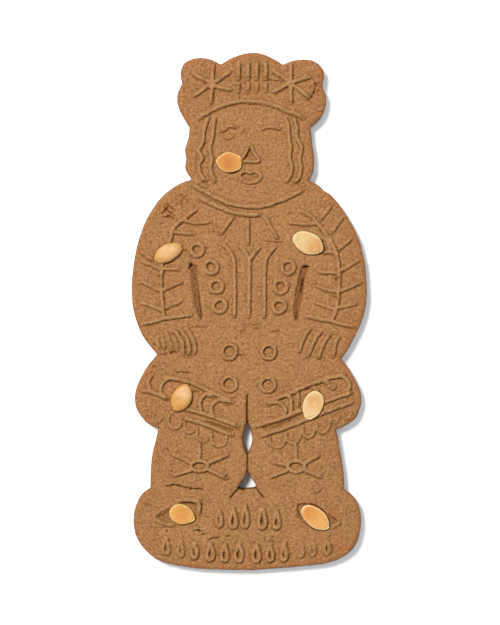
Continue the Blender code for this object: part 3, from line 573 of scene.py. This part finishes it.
def lay_beads():
    """All beads as one mesh of round-ended, slightly uneven tubes."""
    draw = random.Random(SEED)
    runs = []
    for bead in relief():
        phase, uneven = draw.uniform(0, math.tau), draw.uniform(0.03, 0.10)
        knots = [Vector(point) for point in bead.path]
        run = np.cumsum([0] + [(b - a).length for a, b in zip(knots[:-1], knots[1:])])
        half = bead.width / 2
        line = []
        for point, here in zip(knots, run):
            radius = half * (1 + uneven * math.sin(phase + here * 0.9) + 0.08 * noise.noise(point / 1.3))
            if not bead.closed:
                tip = min(here, run[-1] - here, half) / half
                radius *= math.sqrt(max(0.004, 1 - (1 - tip) ** 2))
            if bead.tapered:
                radius *= 0.6 + 0.4 * min(1, here / TAPER, (run[-1] - here) / TAPER)
            lift = bead.lift + 0.25 * noise.noise(point / 3.0)
            line.append((point.x, point.y, lift / BEAD_FLATNESS, radius))
        runs.append((line, bead.closed))
    beads = lay_curve("beads", runs, dimensions="3D", twist_mode="Z_UP", bevel_depth=MM,
                      bevel_resolution=BEAD_SIDES, use_fill_caps=True)
    return make_mesh(beads, GROUND, BEAD_FLATNESS)


def press_feet(places, painted_shade):
    """Creases along both feet of each bead, the lower right one deep, and the lower dough inside closed ones.

    Shade is painted into the creases, darkest along the lower right foot, which faces away from the light.
    Returns how much each place belongs to the top of a bead, where a highlight is painted."""
    painted_crest_highlight = np.zeros(len(places))
    for bead in relief():
        path = list(bead.path) + ([bead.path[0]] if bead.closed else [])
        foot = bead.width / 2
        chosen, gap, away, *_ = follow(places, path, foot + (5 if bead.closed else 1.8))
        upper = ease((places[chosen, 2] - 8) / 2)
        if bead.closed:
            middle = sum(bead.path, Vector()) / len(bead.path)
            inward = ((np.array(middle.xy) - places[chosen, :2]) * away).sum(1) > 0
            places[chosen, 2] -= RECESS_DEPTH * ease((gap - foot * 0.4) / 0.9) * inward * (1 + bead.lift) * upper
        strength = (1 + bead.lift) * upper
        facing = away @ FOOT_SIDE / np.maximum(gap, 1e-6)
        facing = np.where(facing > 0, UPPER_FOOT + (1 - UPPER_FOOT) * np.abs(facing)**0.6, UPPER_FOOT)
        share = np.exp(-((gap - foot - 0.2) / FOOT_REACH) ** 2) * facing
        share *= ease(1 - (places[chosen, 2] - GROUND - 0.1) / 0.45) * strength
        places[chosen, 2] -= FOOT_DEPTH * share
        # painted shade in the crease, darkest on the foot that faces away from the light
        painted_shade[chosen] = np.maximum(painted_shade[chosen], share)
        # a bead's top, which gets a painted highlight
        painted_crest_highlight[chosen] = np.maximum(painted_crest_highlight[chosen], np.exp(-(gap / foot / 0.75) ** 2) * strength)
    return painted_crest_highlight


def drop_slits():
    """The narrow slit in the lower half of each drop, with shade painted into it."""
    for drops, depth, shade in ((DROPS, 0.7, 1.2), (FAINT_DROPS, 0.5, 0.8)):
        for drop in drops:
            yield Crack(depth, 0.8, shade, [(drop.x + x, drop.base + y) for x, y in SLIT])


def press_trenches(places, painted_shade):
    """The gaps between arms and body: a long bank on their west side, a steeper one on the east, with shade painted
    on the long west bank.
    """
    for groove in ARM_TRENCHES:
        path = smooth(groove.path)
        chosen, gap, away, along, length = follow(places, path, groove.left + 1)
        side = np.copysign(gap, away[:, 0])
        west = groove.left * (0.35 + 0.65 * ease((1 - along) * length / 9))
        bank = np.where(side < 0, 1 + side / west, 1 - side / groove.right)
        ends = ease(np.minimum(along * 2, 1 - along) * length / 3)
        share = ease(bank * 1.15) * ends * ease((places[chosen, 2] - 2) / 5)
        places[chosen, 2] -= groove.depth * share
        # painted shade on the west bank, which slopes away from the light
        painted_shade[chosen] = np.maximum(painted_shade[chosen], TRENCH_SHADE * ease(bank * 2.4) * ends)


def press_hollows(places, painted_shade):
    """Fields pressed down in the shoes and the nose, with shade painted along their upper left edges, where the rim
    shades them.
    """
    for field in HOLLOWS:
        path = smooth(field, closed=True)
        middle = np.array((sum(path, Vector((0, 0))) / len(path))[:])
        chosen, gap, away, *_ = follow(places, path + path[:1], 9)
        inward = (((middle - places[chosen, :2]) * away).sum(1) > 0) * ease((places[chosen, 2] - 8) / 2)
        facing = ease(away @ FOOT_SIDE / np.maximum(gap, 1e-6) + 0.5)
        places[chosen, 2] -= HOLLOW_DEPTH * ease(gap / 0.7) * inward
        shade = 0.3 + 0.7 * facing * np.exp(-(gap / 0.9) ** 2)
        # painted shade inside the upper left edge of the field
        painted_shade[chosen] = np.maximum(painted_shade[chosen], shade * inward * ease(gap / 0.25))


def press_cracks(places, painted_shade, cracks, ragged=0.3):
    draw = random.Random(SEED)
    for crack in cracks:
        stray = ragged / (crack.depth + 0.2)
        path = [Vector(point) + Vector((draw.uniform(-0.7, 0.7), draw.uniform(-1, 1))) * stray
                for point in smooth(crack.path)[::3]]
        chosen, gap, _, along, length = follow(places, path, 2)
        uneven = 1 - (0.25 + 0.25 * np.sin(along * length * 1.7 + draw.uniform(0, math.tau))) * (ragged > 0)
        share = ease(1 - gap / (crack.reach * uneven)) * ease(np.minimum(along, 1 - along) * length / 2 + 0.3)
        share *= ease((places[chosen, 2] - 4) / 4)
        places[chosen, 2] -= crack.depth * share
        # painted shade in the crack, which little light reaches
        painted_shade[chosen] = np.maximum(painted_shade[chosen], crack.shade * share)


def darken_openings(places, painted_shade):
    """The walls of the leg openings, which little light reaches."""
    for opening in LEG_OPENINGS:
        path = smooth(opening, closed=True)
        chosen, gap, *_ = follow(places, path + path[:1], 2.5)
        shade = OPENING_SHADE * ease((GROUND - 0.6 - places[chosen, 2]) / 1.6) * ease((2.5 - gap) / 0.6)
        painted_shade[chosen] = np.maximum(painted_shade[chosen], shade)


def scattered_wrinkles(count):
    """Short shallow wrinkles all over, most of them across the body and on its lower half."""
    draw = random.Random(SEED + 3)
    low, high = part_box("cookie")
    for _ in range(count):
        x = draw.uniform(low.x, high.x) / MM
        y = draw.triangular(low.y, high.y, low.y * 0.6) / MM
        turn = draw.gauss(0, 0.5)
        reach = Vector((math.cos(turn), math.sin(turn))) * draw.uniform(1, 3)
        middle, bend = Vector((x, y)), draw.uniform(-0.4, 0.4)
        path = (middle - reach, middle + reach.orthogonal() * bend, middle + reach)
        yield Crack(draw.uniform(0.25, 0.5), draw.uniform(0.4, 0.6), draw.uniform(0.25, 0.65), path)


def almond_reach(almond, middle, places):
    """How far places lie from an almond's edge, and their place in its own axes, as shares of its size."""
    turn = math.radians(-almond.direction)
    x, y = places[:, 0] - middle.x, places[:, 1] - middle.y
    along = (x * math.cos(turn) - y * math.sin(turn)) / (almond.length / 2)
    across = (x * math.sin(turn) + y * math.cos(turn)) / (almond.width / 2)
    angle = np.arctan2(across, along)
    pinch = 1 - almond.pinch * np.maximum(0, np.cos(angle)) ** 2
    share = np.hypot(along, across / pinch)
    share = np.where(along < 0, np.maximum(share, np.abs(along) / almond.blunt), share)
    radius = np.hypot(x, y) / np.maximum(share, 1e-6)
    return (share - 1) * radius


def around_almonds(places):
    """For each almond: the places near it, how far they lie from its edge, and its middle."""
    for node, almond in ALMONDS.items():
        low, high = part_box(node)
        middle = (low + high) / 2 / MM
        around = np.hypot(places[:, 0] - middle.x, places[:, 1] - middle.y)
        chosen = np.flatnonzero((around < almond.length / 2 + 5) & (places[:, 2] > GROUND - 3))
        yield chosen, almond_reach(almond, middle, places[chosen]), middle


def press_pockets(places, painted_shade):
    """Pockets under the almonds, with a small lip of dough, and a crease along one side with a painted shadow."""
    floor = GROUND - ALMOND_SINK
    for chosen, gap, middle in around_almonds(places):
        z = places[chosen, 2] + 0.18 * np.exp(-((gap - 1.3) / 0.8) ** 2)
        z = np.where(z > floor, z + (floor - z) * ease(1 - (gap - POCKET_GAP) / 0.45), z)
        offset = places[chosen, :2] - (middle.x, middle.y)
        facing = np.clip(offset @ FOOT_SIDE / np.maximum(np.hypot(*offset.T), 1e-6), 0, 1)
        uneven = 0.75 + 0.35 * np.sin(4 * np.arctan2(offset[:, 1], offset[:, 0]) + middle.x)
        share = np.exp(-((gap - 0.3) / 0.7) ** 2) * facing**0.8 * uneven
        places[chosen, 2] = z - POCKET_SHADE * share
        # painted shadow of the almond along its lower right side, and none under the almond itself
        kept = np.where(gap < -0.3, 0, painted_shade[chosen])
        painted_shade[chosen] = np.maximum(1.4 * share, kept)


def press_pits(places, painted_shade, count):
    """Small pits where air left the dough: the ones that stand out, and a scatter of tiny ones, with shade painted
    into them.
    """
    draw = random.Random(SEED + 1)
    low, high = places.min(0), places.max(0)
    pits = [(x, y, reach, 0.8 * reach) for x, y, reach in PITS]
    for _ in range(count):
        reach = 0.45 + 0.45 * draw.random() ** 3
        pits.append((draw.uniform(low[0], high[0]), draw.uniform(low[1], high[1]), reach,
                     reach * draw.uniform(0.3, 0.7)))
    for x, y, reach, depth in pits:
        near = np.flatnonzero((abs(places[:, 0] - x) < reach) & (abs(places[:, 1] - y) < reach)
                              & (places[:, 2] > 4))
        share = ease(1.15 - np.hypot(places[near, 0] - x, places[near, 1] - y) / reach)
        places[near, 2] -= depth * share
        painted_shade[near] = np.maximum(painted_shade[near], 0.8 * share)


def patch_share(places, patches, ground=0.0):
    """Strength of the patches at each place, and of a few weaker ones all over."""
    draw = random.Random(SEED + 2)
    low, high = places.min(0), places.max(0)
    patches = list(patches)
    for _ in range(60):
        patches.append((draw.uniform(low[0], high[0]), draw.uniform(low[1], high[1]), draw.uniform(4, 9),
                        draw.uniform(0.1, 0.35)))
    share = np.full(len(places), ground)
    for x, y, reach, strength in patches:
        near = np.flatnonzero((abs(places[:, 0] - x) < reach) & (abs(places[:, 1] - y) < reach))
        gap = np.hypot(places[near, 0] - x, places[near, 1] - y)
        share[near] = np.maximum(share[near], strength * ease(1.2 * (1 - gap / reach)))
    return share


def roughen(piece, name, kind, size, strength, group=None, **texture_settings):
    """Push the surface in and out by a fine noise."""
    texture = bpy.data.textures.new(name, kind)
    texture.noise_scale = size * MM
    for key, value in texture_settings.items():
        setattr(texture, key, value)
    settings = {"vertex_group": group} if group else {}
    apply_modifier(piece, "DISPLACE", texture=texture, texture_coords="LOCAL", strength=strength * MM,
                   mid_level=0.5, **settings)
    bpy.data.textures.remove(texture)


def add_group(piece, name, weights):
    """Vertex group with a weight for each vertex, in a few steps."""
    group = piece.vertex_groups.new(name=name)
    steps = np.round(weights * 12).astype(int)
    for step in range(1, 13):
        group.add(np.flatnonzero(steps == step).tolist(), step / 12, "REPLACE")


def write_attribute(piece, name, values):
    attribute = piece.data.attributes.new(name, "FLOAT", "POINT")
    attribute.data.foreach_set("value", np.asarray(values, dtype=np.float32))


def outline_gap(places, reach=20.0):
    """Distance of each place from the outline, up to a reach."""
    gaps = np.full(len(places), reach)
    for lobe in OUTLINE:
        path = smooth(lobe)
        chosen, gap, *_ = follow(places, path[:-1:5] + path[-1:], reach)
        gaps[chosen] = np.minimum(gaps[chosen], gap)
    return gaps


def spread(piece, values, rounds):
    """Average values over neighbouring vertices, again and again."""
    edges = np.empty(len(piece.data.edges) * 2, dtype=np.int64)
    piece.data.edges.foreach_get("vertices", edges)
    a, b = edges.reshape(-1, 2).T
    count = len(values)
    share = np.bincount(a, minlength=count) + np.bincount(b, minlength=count) + 1.0
    for _ in range(rounds):
        total = values + np.bincount(a, values[b], count) + np.bincount(b, values[a], count)
        values = total / share
    return values


def bake_biscuit():
    """The finished biscuit: slab and beads fused, pressed, roughened, and thinned to its final mesh."""
    slab = roll_slab()
    pick(lay_beads(), slab)
    bpy.ops.object.join()
    apply_modifier(slab, "REMESH", mode="VOXEL", voxel_size=VOXEL * MM)

    places = read_places(slab)
    painted_shade = np.zeros(len(places))
    painted_crest_highlight = press_feet(places, painted_shade)
    press_trenches(places, painted_shade)
    press_pits(places, painted_shade, 300)
    press_hollows(places, painted_shade)
    press_cracks(places, painted_shade, CRACKS)
    press_cracks(places, painted_shade, scattered_wrinkles(110))
    press_cracks(places, painted_shade, drop_slits())
    darken_openings(places, painted_shade)
    press_cracks(places, painted_shade, LEG_CREASES, ragged=0)
    press_pockets(places, painted_shade)
    write_places(slab, places)
    # shade to be painted into creases, cracks, pits, trenches and recesses
    write_attribute(slab, "painted_shade", painted_shade)
    # the tops of the beads, where the crumb gets a painted highlight
    write_attribute(slab, "painted_crest_highlight", painted_crest_highlight)

    upper = ease((places[:, 2] - 0.6) / 2)
    edge = outline_gap(places)
    add_group(slab, "top", upper)
    add_group(slab, "rim", ease(1 - (edge - 0.5) / 3.5) * upper)
    add_group(slab, "rough", patch_share(places, ROUGH_PATCHES, 0.12) * upper)
    roughen(slab, "swell", "CLOUDS", 16, 0.6, "top", noise_depth=1)
    roughen(slab, "lumps", "CLOUDS", 3.4, 0.24, "top", noise_depth=2)
    roughen(slab, "torn_rim", "CLOUDS", 1.9, 0.5, "rim", noise_depth=2)
    roughen(slab, "torn", "CLOUDS", 1.5, 1.7, "rough", noise_depth=2)
    slab.vertex_groups.clear()

    places = read_places(slab)
    height = places[:, 2]
    # painted shade in small hollows: how far each place lies below its neighbours, none beside the almonds
    painted_hollow_shade = height - spread(slab, height, 8)
    for chosen, gap, _ in around_almonds(places):
        painted_hollow_shade[chosen] *= ease((gap - 0.2) / 0.8)
    write_attribute(slab, "rim_gap", edge)
    write_attribute(slab, "toasted", patch_share(places, TOASTED_PATCHES))
    write_attribute(slab, "painted_hollow_shade", painted_hollow_shade)
    # painted shade in broad recesses: how far each place lies below the dough around it
    write_attribute(slab, "painted_recess_shade", height - spread(slab, height, 60))

    faces = 2 * len(slab.data.polygons)
    if faces > TRIANGLES:
        apply_modifier(slab, "DECIMATE", ratio=TRIANGLES / faces)
    slab.data.shade_smooth()
    return slab


# ---------------------------------------------------------------- the almonds

def shape_almond(node, almond):
    """An almond half: a sphere shaped to its outline, flat or domed on top, and steep where it is sunk."""
    low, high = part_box(node)
    middle = (low + high) / 2 / MM
    bpy.ops.object.select_all(action="DESELECT")
    bpy.ops.mesh.primitive_uv_sphere_add(segments=96, ring_count=48, radius=1, location=(0, 0, 0))
    piece = bpy.context.object
    piece.name = node + "_baked"
    ball = np.empty(len(piece.data.vertices) * 3)
    piece.data.vertices.foreach_get("co", ball)
    ball = ball.reshape(-1, 3)
    above = ball[:, 2] > 0
    latitude = np.arcsin(np.clip(ball[:, 2], -1, 1))
    power = np.where(above, 0.66 if almond.domed else 0.32, 0.25)
    reach = np.maximum(0, np.cos(latitude)) ** power
    rise = np.sign(latitude) * np.abs(np.sin(latitude)) ** power
    angle = np.arctan2(ball[:, 1], ball[:, 0])
    pinch = 1 - almond.pinch * np.maximum(0, np.cos(angle)) ** 2
    phase = sum(map(ord, node))
    wide = reach * (0.985 + 0.016 * np.sin(3 * angle + phase) + 0.012 * np.sin(5 * angle + 2 * phase))
    along = wide * np.cos(angle)
    along = np.where(along < -almond.blunt, (along + almond.blunt) * 0.3 - almond.blunt, along)
    across = wide * np.sin(angle) * pinch
    turn = math.radians(almond.direction)
    x, y = along * almond.length / 2, across * almond.width / 2
    top = np.where(above, almond.height, ALMOND_SINK)
    if not almond.domed:
        rise = np.where(above, rise * (0.86 + 0.14 * reach**3), rise)
    places = np.stack((x * math.cos(turn) - y * math.sin(turn) + middle.x,
                       x * math.sin(turn) + y * math.cos(turn) + middle.y,
                       GROUND + rise * top), axis=1)
    write_places(piece, places)
    write_attribute(piece, "kernel_along", along)
    write_attribute(piece, "kernel_across", across)
    write_attribute(piece, "kernel_edge", reach)
    chipped = ease(1 - abs((angle - math.radians(almond.chipped) + math.pi) % math.tau - math.pi) / 0.75)
    add_group(piece, "chipped", chipped * ease((reach - 0.7) / 0.25))
    roughen(piece, "chips", "CLOUDS", 1.2, 1.9, "chipped", noise_depth=1)
    roughen(piece, "kernel_waves", "CLOUDS", 3.5, 0.45 if almond.domed else 0.28, noise_depth=1)
    piece.vertex_groups.clear()
    piece.data.shade_smooth()
    return piece


# ---------------------------------------------------------------- finishes

def finish(name):
    """A new material with its node tree and shader."""
    made = bpy.data.materials.new(name)
    made.use_nodes = True
    return made, made.node_tree, made.node_tree.nodes["Principled BSDF"]


def node(tree, kind, settings=(), **inputs):
    """A shader node with its settings and inputs; an input is a value or another node's output."""
    made = tree.nodes.new("ShaderNode" + kind)
    for key, value in dict(settings).items():
        setattr(made, key, value)
    for key, value in inputs.items():
        socket = made.inputs[int(key[1:])] if key[1:].isdigit() else made.inputs[key.replace("_", " ")]
        if isinstance(value, bpy.types.NodeSocket):
            tree.links.new(value, socket)
        else:
            socket.default_value = value
    return made


def grain(tree, size, detail=2.0, roughness=0.5, place=None):
    """Noise with features of a size in millimetres."""
    place = place or node(tree, "TexCoord").outputs["Object"]
    return node(tree, "TexNoise", Vector=place, Scale=1000 / size, Detail=detail,
                Roughness=roughness).outputs["Fac"]


def ramp(tree, value, stops, smooth_stops=True):
    made = node(tree, "ValToRGB", Fac=value)
    made.color_ramp.interpolation = "EASE" if smooth_stops else "LINEAR"
    elements = made.color_ramp.elements
    while len(elements) < len(stops):
        elements.new(0.5)
    for element, (place, colour) in zip(elements, stops):
        element.position = place
        element.color = (*colour, 1) if isinstance(colour, tuple) else (colour, colour, colour, 1)
    return made.outputs["Color"]


def mix(tree, share, first, second, blend="MIX"):
    made = node(tree, "Mix", {"data_type": "RGBA", "blend_type": blend})
    for index, value in ((0, share), (6, first), (7, second)):
        if isinstance(value, bpy.types.NodeSocket):
            tree.links.new(value, made.inputs[index])
        else:
            made.inputs[index].default_value = (*value, 1) if isinstance(value, tuple) else value
    return made.outputs[2]


def stretch(tree, value, low, high, to_low=0.0, to_high=1.0):
    return node(tree, "MapRange", {"interpolation_type": "SMOOTHSTEP"}, Value=value, From_Min=low, From_Max=high,
                To_Min=to_low, To_Max=to_high).outputs["Result"]


def attribute(tree, name):
    return node(tree, "Attribute", {"attribute_name": name}).outputs["Fac"]


CRUMB_DARK = (0.240, 0.100, 0.027)
CRUMB_MID = (0.395, 0.178, 0.059)
# light crumb for specks, also the painted highlight on the tops of the beads
CRUMB_LIGHT = (0.545, 0.297, 0.131)
CRUMB_GOLD = (0.428, 0.210, 0.065)
CRUMB_ROSE = (0.430, 0.186, 0.078)
CRUMB_EDGE = (0.345, 0.152, 0.052)
HAT_TONE = (0.112, 0.132)                        # the hat is browner than the face, from here to there
RIM_BROWN = (0.420, 0.145, 0.038)
FLECK_ORANGE = (0.560, 0.225, 0.068)
RIM_SHADE = (0.260, 0.120, 0.055)
# dark pores, and the painted shade of creases, hollows and recesses
PORE_AND_SHADE_BROWN = (0.205, 0.066, 0.005)
# painted shade in the deepest cracks and beside the almonds
DEEP_SHADE_BROWN = (0.045, 0.014, 0.002)


def baked_crumb():
    """Fine brown crumb: golden and rosy in patches, browner to the rim, with shade painted into hollows, creases
    and cracks and a highlight painted on the tops of the beads.
    """
    made, tree, shader = finish("baked_crumb")
    fine, mottle, lumps = grain(tree, 0.95, 3, 0.6), grain(tree, 1.7, 4, 0.6), grain(tree, 4.2, 3, 0.6)
    hue = stretch(tree, grain(tree, 6, 3, 0.6), 0.35, 0.65)
    rim_gap = attribute(tree, "rim_gap")
    colour = mix(tree, 0.6, CRUMB_MID, mix(tree, hue, CRUMB_GOLD, CRUMB_ROSE))
    colour = mix(tree, stretch(tree, rim_gap, 19, 3, 0, 0.45), colour, CRUMB_EDGE)
    upward = node(tree, "SeparateXYZ", Vector=node(tree, "TexCoord").outputs["Object"]).outputs["Y"]
    colour = mix(tree, stretch(tree, upward, *HAT_TONE, 0, 0.4), colour, CRUMB_EDGE)
    colour = mix(tree, stretch(tree, mottle, 0.50, 0.30, 0, 0.8), colour, CRUMB_DARK)
    colour = mix(tree, stretch(tree, mottle, 0.50, 0.70, 0, 0.8), colour, CRUMB_LIGHT)
    rim = stretch(tree, rim_gap, 5.0, 0.6, 0, 0.85)
    patches = node(tree, "Math", {"operation": "MULTIPLY"}, _0=rim, _1=stretch(tree, lumps, 0.6, 0.4)).outputs[0]
    colour = mix(tree, patches, colour, RIM_BROWN)
    blotches = node(tree, "Math", {"operation": "MULTIPLY"}, _0=attribute(tree, "toasted"),
                    _1=stretch(tree, lumps, 0.65, 0.40, 0.1, 0.85)).outputs[0]
    colour = mix(tree, blotches, colour, RIM_BROWN)
    flecks = node(tree, "Math", {"operation": "MULTIPLY"}, _0=stretch(tree, rim_gap, 8, 1.5, 0.18, 0.9),
                  _1=stretch(tree, grain(tree, 1.6, 3, 0.6), 0.55, 0.68)).outputs[0]
    colour = mix(tree, flecks, colour, FLECK_ORANGE)
    colour = mix(tree, stretch(tree, rim_gap, 1.7, 0.2, 0, 0.5), colour, RIM_SHADE)
    # painted highlight on the tops of the beads, where the light falls on them
    colour = mix(tree, stretch(tree, attribute(tree, "painted_crest_highlight"), 0.15, 1.0, 0, 0.5), colour, CRUMB_LIGHT)
    speck = grain(tree, 0.75, 2, 0.6)
    colour = mix(tree, stretch(tree, speck, 0.50, 0.32, 0, 0.5), colour, CRUMB_DARK)
    colour = mix(tree, stretch(tree, speck, 0.50, 0.68, 0, 0.5), colour, CRUMB_LIGHT)
    pores = stretch(tree, fine, 0.63, 0.74, 0, 0.5)
    painted_shade = attribute(tree, "painted_shade")
    # dark pores, then painted shade in hollows, recesses, creases and cracks
    for shade in (pores, stretch(tree, attribute(tree, "painted_hollow_shade"), -0.05, -0.5, 0, 0.4),
                  stretch(tree, attribute(tree, "painted_recess_shade"), -0.6, -2.6, 0, 0.6),
                  stretch(tree, painted_shade, 0.05, 0.95, 0, 0.85)):
        colour = mix(tree, shade, colour, PORE_AND_SHADE_BROWN)
    # the darkest painted shade
    colour = mix(tree, stretch(tree, painted_shade, 0.95, 1.4, 0, 0.9), colour, DEEP_SHADE_BROWN)
    tree.links.new(colour, shader.inputs["Base Color"])
    shader.inputs["Roughness"].default_value = 0.75
    shader.inputs["Specular IOR Level"].default_value = 0.22
    normal = None
    for height, depth in ((fine, 1.15), (mottle, 1.35), (lumps, 1.3)):
        extra = {"Normal": normal} if normal else {}
        normal = node(tree, "Bump", Strength=1.0, Distance=depth * MM, Height=height, **extra).outputs["Normal"]
    tree.links.new(normal, shader.inputs["Normal"])
    return made


Tone = namedtuple("Tone", "body blush blush_at rim gloss")       # second colour and its place, along and across as shares: a darker toasted tint on most almonds, a painted highlight on the left chest and left thigh ones
ALMOND_TONES = {
    "almond_face": Tone((0.56, 0.240, 0.040), (0.465, 0.150, 0.012), (0.1, 0.1), (0.74, 0.48, 0.20), 0.5),
    "almond_chest_left": Tone((0.52, 0.262, 0.070), (0.59, 0.335, 0.140), (0.1, 0.3), (0.58, 0.32, 0.10), 0.4),
    "almond_chest_right": Tone((0.60, 0.415, 0.180), (0.55, 0.24, 0.055), (0.55, -0.1), (0.70, 0.54, 0.28), 0.5),
    "almond_thigh_left": Tone((0.56, 0.258, 0.056), (0.63, 0.365, 0.175), (0.4, -0.35), (0.58, 0.29, 0.07), 0.4),
    "almond_thigh_right": Tone((0.64, 0.43, 0.205), (0.59, 0.315, 0.105), (-0.25, 0.05), (0.73, 0.54, 0.27), 0.5),
    "almond_foot_left": Tone((0.60, 0.300, 0.064), (0.55, 0.225, 0.036), (0.0, 0.1), (0.72, 0.48, 0.17), 0.48),
    "almond_foot_right": Tone((0.64, 0.320, 0.088), (0.57, 0.23, 0.045), (-0.5, 0.0), (0.78, 0.56, 0.30), 0.48),
}
KERNEL_SKIN = (0.30, 0.13, 0.035)


def almond_flesh(name, tone):
    """Toasted almond: a warm body with a patch of a second colour, darker toast on most and a painted highlight on
    the domed left ones, a pale rim, and fine lines along the kernel.
    """
    made, tree, shader = finish(name)
    along, across = attribute(tree, "kernel_along"), attribute(tree, "kernel_across")

    def combine(scale):
        wide = node(tree, "Math", {"operation": "MULTIPLY"}, _0=across, _1=scale).outputs[0]
        return node(tree, "CombineXYZ", X=along, Y=wide).outputs[0]

    lines = node(tree, "TexNoise", Vector=combine(9.0), Scale=1.6, Detail=3.0).outputs["Fac"]
    patch = grain(tree, 3.5, 3, 0.6)
    gap = node(tree, "VectorMath", {"operation": "DISTANCE"}, _0=combine(0.6),
               _1=(tone.blush_at[0], 0.6 * tone.blush_at[1], 0)).outputs["Value"]
    # patch of the second colour; on the left chest and left thigh almonds it is a painted highlight
    blush = node(tree, "Math", {"operation": "MULTIPLY"}, _0=stretch(tree, gap, 0.85, 0.15),
                 _1=stretch(tree, patch, 0.3, 0.55, 0.45, 1.0)).outputs[0]
    colour = mix(tree, blush, tone.body, tone.blush)
    colour = mix(tree, stretch(tree, lines, 0.48, 0.70, 0, 0.35), colour, tuple(0.7 * c for c in tone.blush))
    ragged = node(tree, "Math", {"operation": "MULTIPLY_ADD"}, _0=patch, _1=0.16,
                  _2=attribute(tree, "kernel_edge")).outputs[0]
    colour = mix(tree, stretch(tree, ragged, 0.96, 1.02, 0, 0.95), colour, tone.rim)
    colour = mix(tree, stretch(tree, attribute(tree, "kernel_edge"), 0.972, 0.990, 0, 0.5), colour, KERNEL_SKIN)
    tree.links.new(colour, shader.inputs["Base Color"])
    shader.inputs["Roughness"].default_value = tone.gloss
    shader.inputs["Specular IOR Level"].default_value = 0.4
    shader.inputs["Subsurface Weight"].default_value = 0.1
    shader.inputs["Subsurface Radius"].default_value = (1.0, 0.5, 0.25)
    shader.inputs["Subsurface Scale"].default_value = 0.8 * MM
    bump = node(tree, "Bump", Strength=0.7, Distance=0.4 * MM, Height=lines)
    bump = node(tree, "Bump", Strength=0.7, Distance=0.5 * MM, Height=patch, Normal=bump.outputs["Normal"])
    tree.links.new(bump.outputs["Normal"], shader.inputs["Normal"])
    return made


# ---------------------------------------------------------------- stage

def set_stage():
    """Pale floor that glows faintly away from the biscuit, soft light from the upper left, and a camera straight
    above.
    """
    bpy.ops.object.select_all(action="DESELECT")
    bpy.ops.mesh.primitive_plane_add(size=6, location=(0, 0, -0.05 * MM))
    floor = bpy.context.object
    floor.name = "floor"
    made, tree, shader = finish("white_table")
    tone = ramp(tree, grain(tree, 300, 2), ((0.3, 0.90), (0.7, 0.92)))
    tree.links.new(tone, shader.inputs["Base Color"])
    shader.inputs["Roughness"].default_value = 0.9
    # the floor glows faintly and bluish where it lies clear of the biscuit: painted light that lifts the shadow
    # beside the biscuit, while the floor in the leg openings stays dark
    shader.inputs["Emission Color"].default_value = (0.84, 0.94, 1.0, 1)
    place = node(tree, "SeparateXYZ", Vector=node(tree, "TexCoord").outputs["Object"]).outputs
    shares = [node(tree, "Math", {"operation": "MULTIPLY"}, _1=1000 / reach, _0=node(
        tree, "Math", {"operation": "ABSOLUTE"}, _0=place[axis]).outputs[0]).outputs[0]
        for axis, reach in (("X", 36), ("Y", 150))]
    clear = node(tree, "Math", {"operation": "MAXIMUM"}, _0=shares[0], _1=shares[1]).outputs[0]
    tree.links.new(stretch(tree, clear, 0.8, 1.0, 0.0, 0.19), shader.inputs["Emission Strength"])
    floor.data.materials.append(made)

    bpy.ops.object.light_add(type="AREA")
    key = bpy.context.object
    key.name = "key_light"
    elevation, compass = math.radians(62), math.radians(134.5)
    toward = Vector((math.cos(elevation) * math.cos(compass), math.cos(elevation) * math.sin(compass),
                     math.sin(elevation)))
    key.location = toward * 2.6
    key.rotation_euler = toward.to_track_quat("Z", "Y").to_euler()
    key.data.shape = "DISK"
    key.data.size = 0.72
    key.data.energy = 76.5
    key.data.color = (1.0, 0.97, 0.93)

    world = bpy.data.worlds.new("soft_room")
    bpy.context.scene.world = world
    world.use_nodes = True
    sky = world.node_tree.nodes["Background"]
    sky.inputs["Color"].default_value = (0.90, 0.96, 1.0, 1)
    sky.inputs["Strength"].default_value = 0.50

    bpy.context.scene.view_settings.view_transform = "Standard"

    bpy.ops.object.camera_add(location=(0.3 * MM, -0.6 * MM, 1.258))
    camera = bpy.context.object
    camera.data.lens = 120
    bpy.context.scene.camera = camera


biscuit = bake_biscuit()
biscuit.data.materials.clear()
biscuit.data.materials.append(baked_crumb())
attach(biscuit, "root")
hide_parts("cookie")

for name, almond in ALMONDS.items():
    piece = shape_almond(name, almond)
    piece.data.materials.append(almond_flesh(name + "_flesh", ALMOND_TONES[name]))
    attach(piece, "root")
    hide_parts(name)

set_stage()
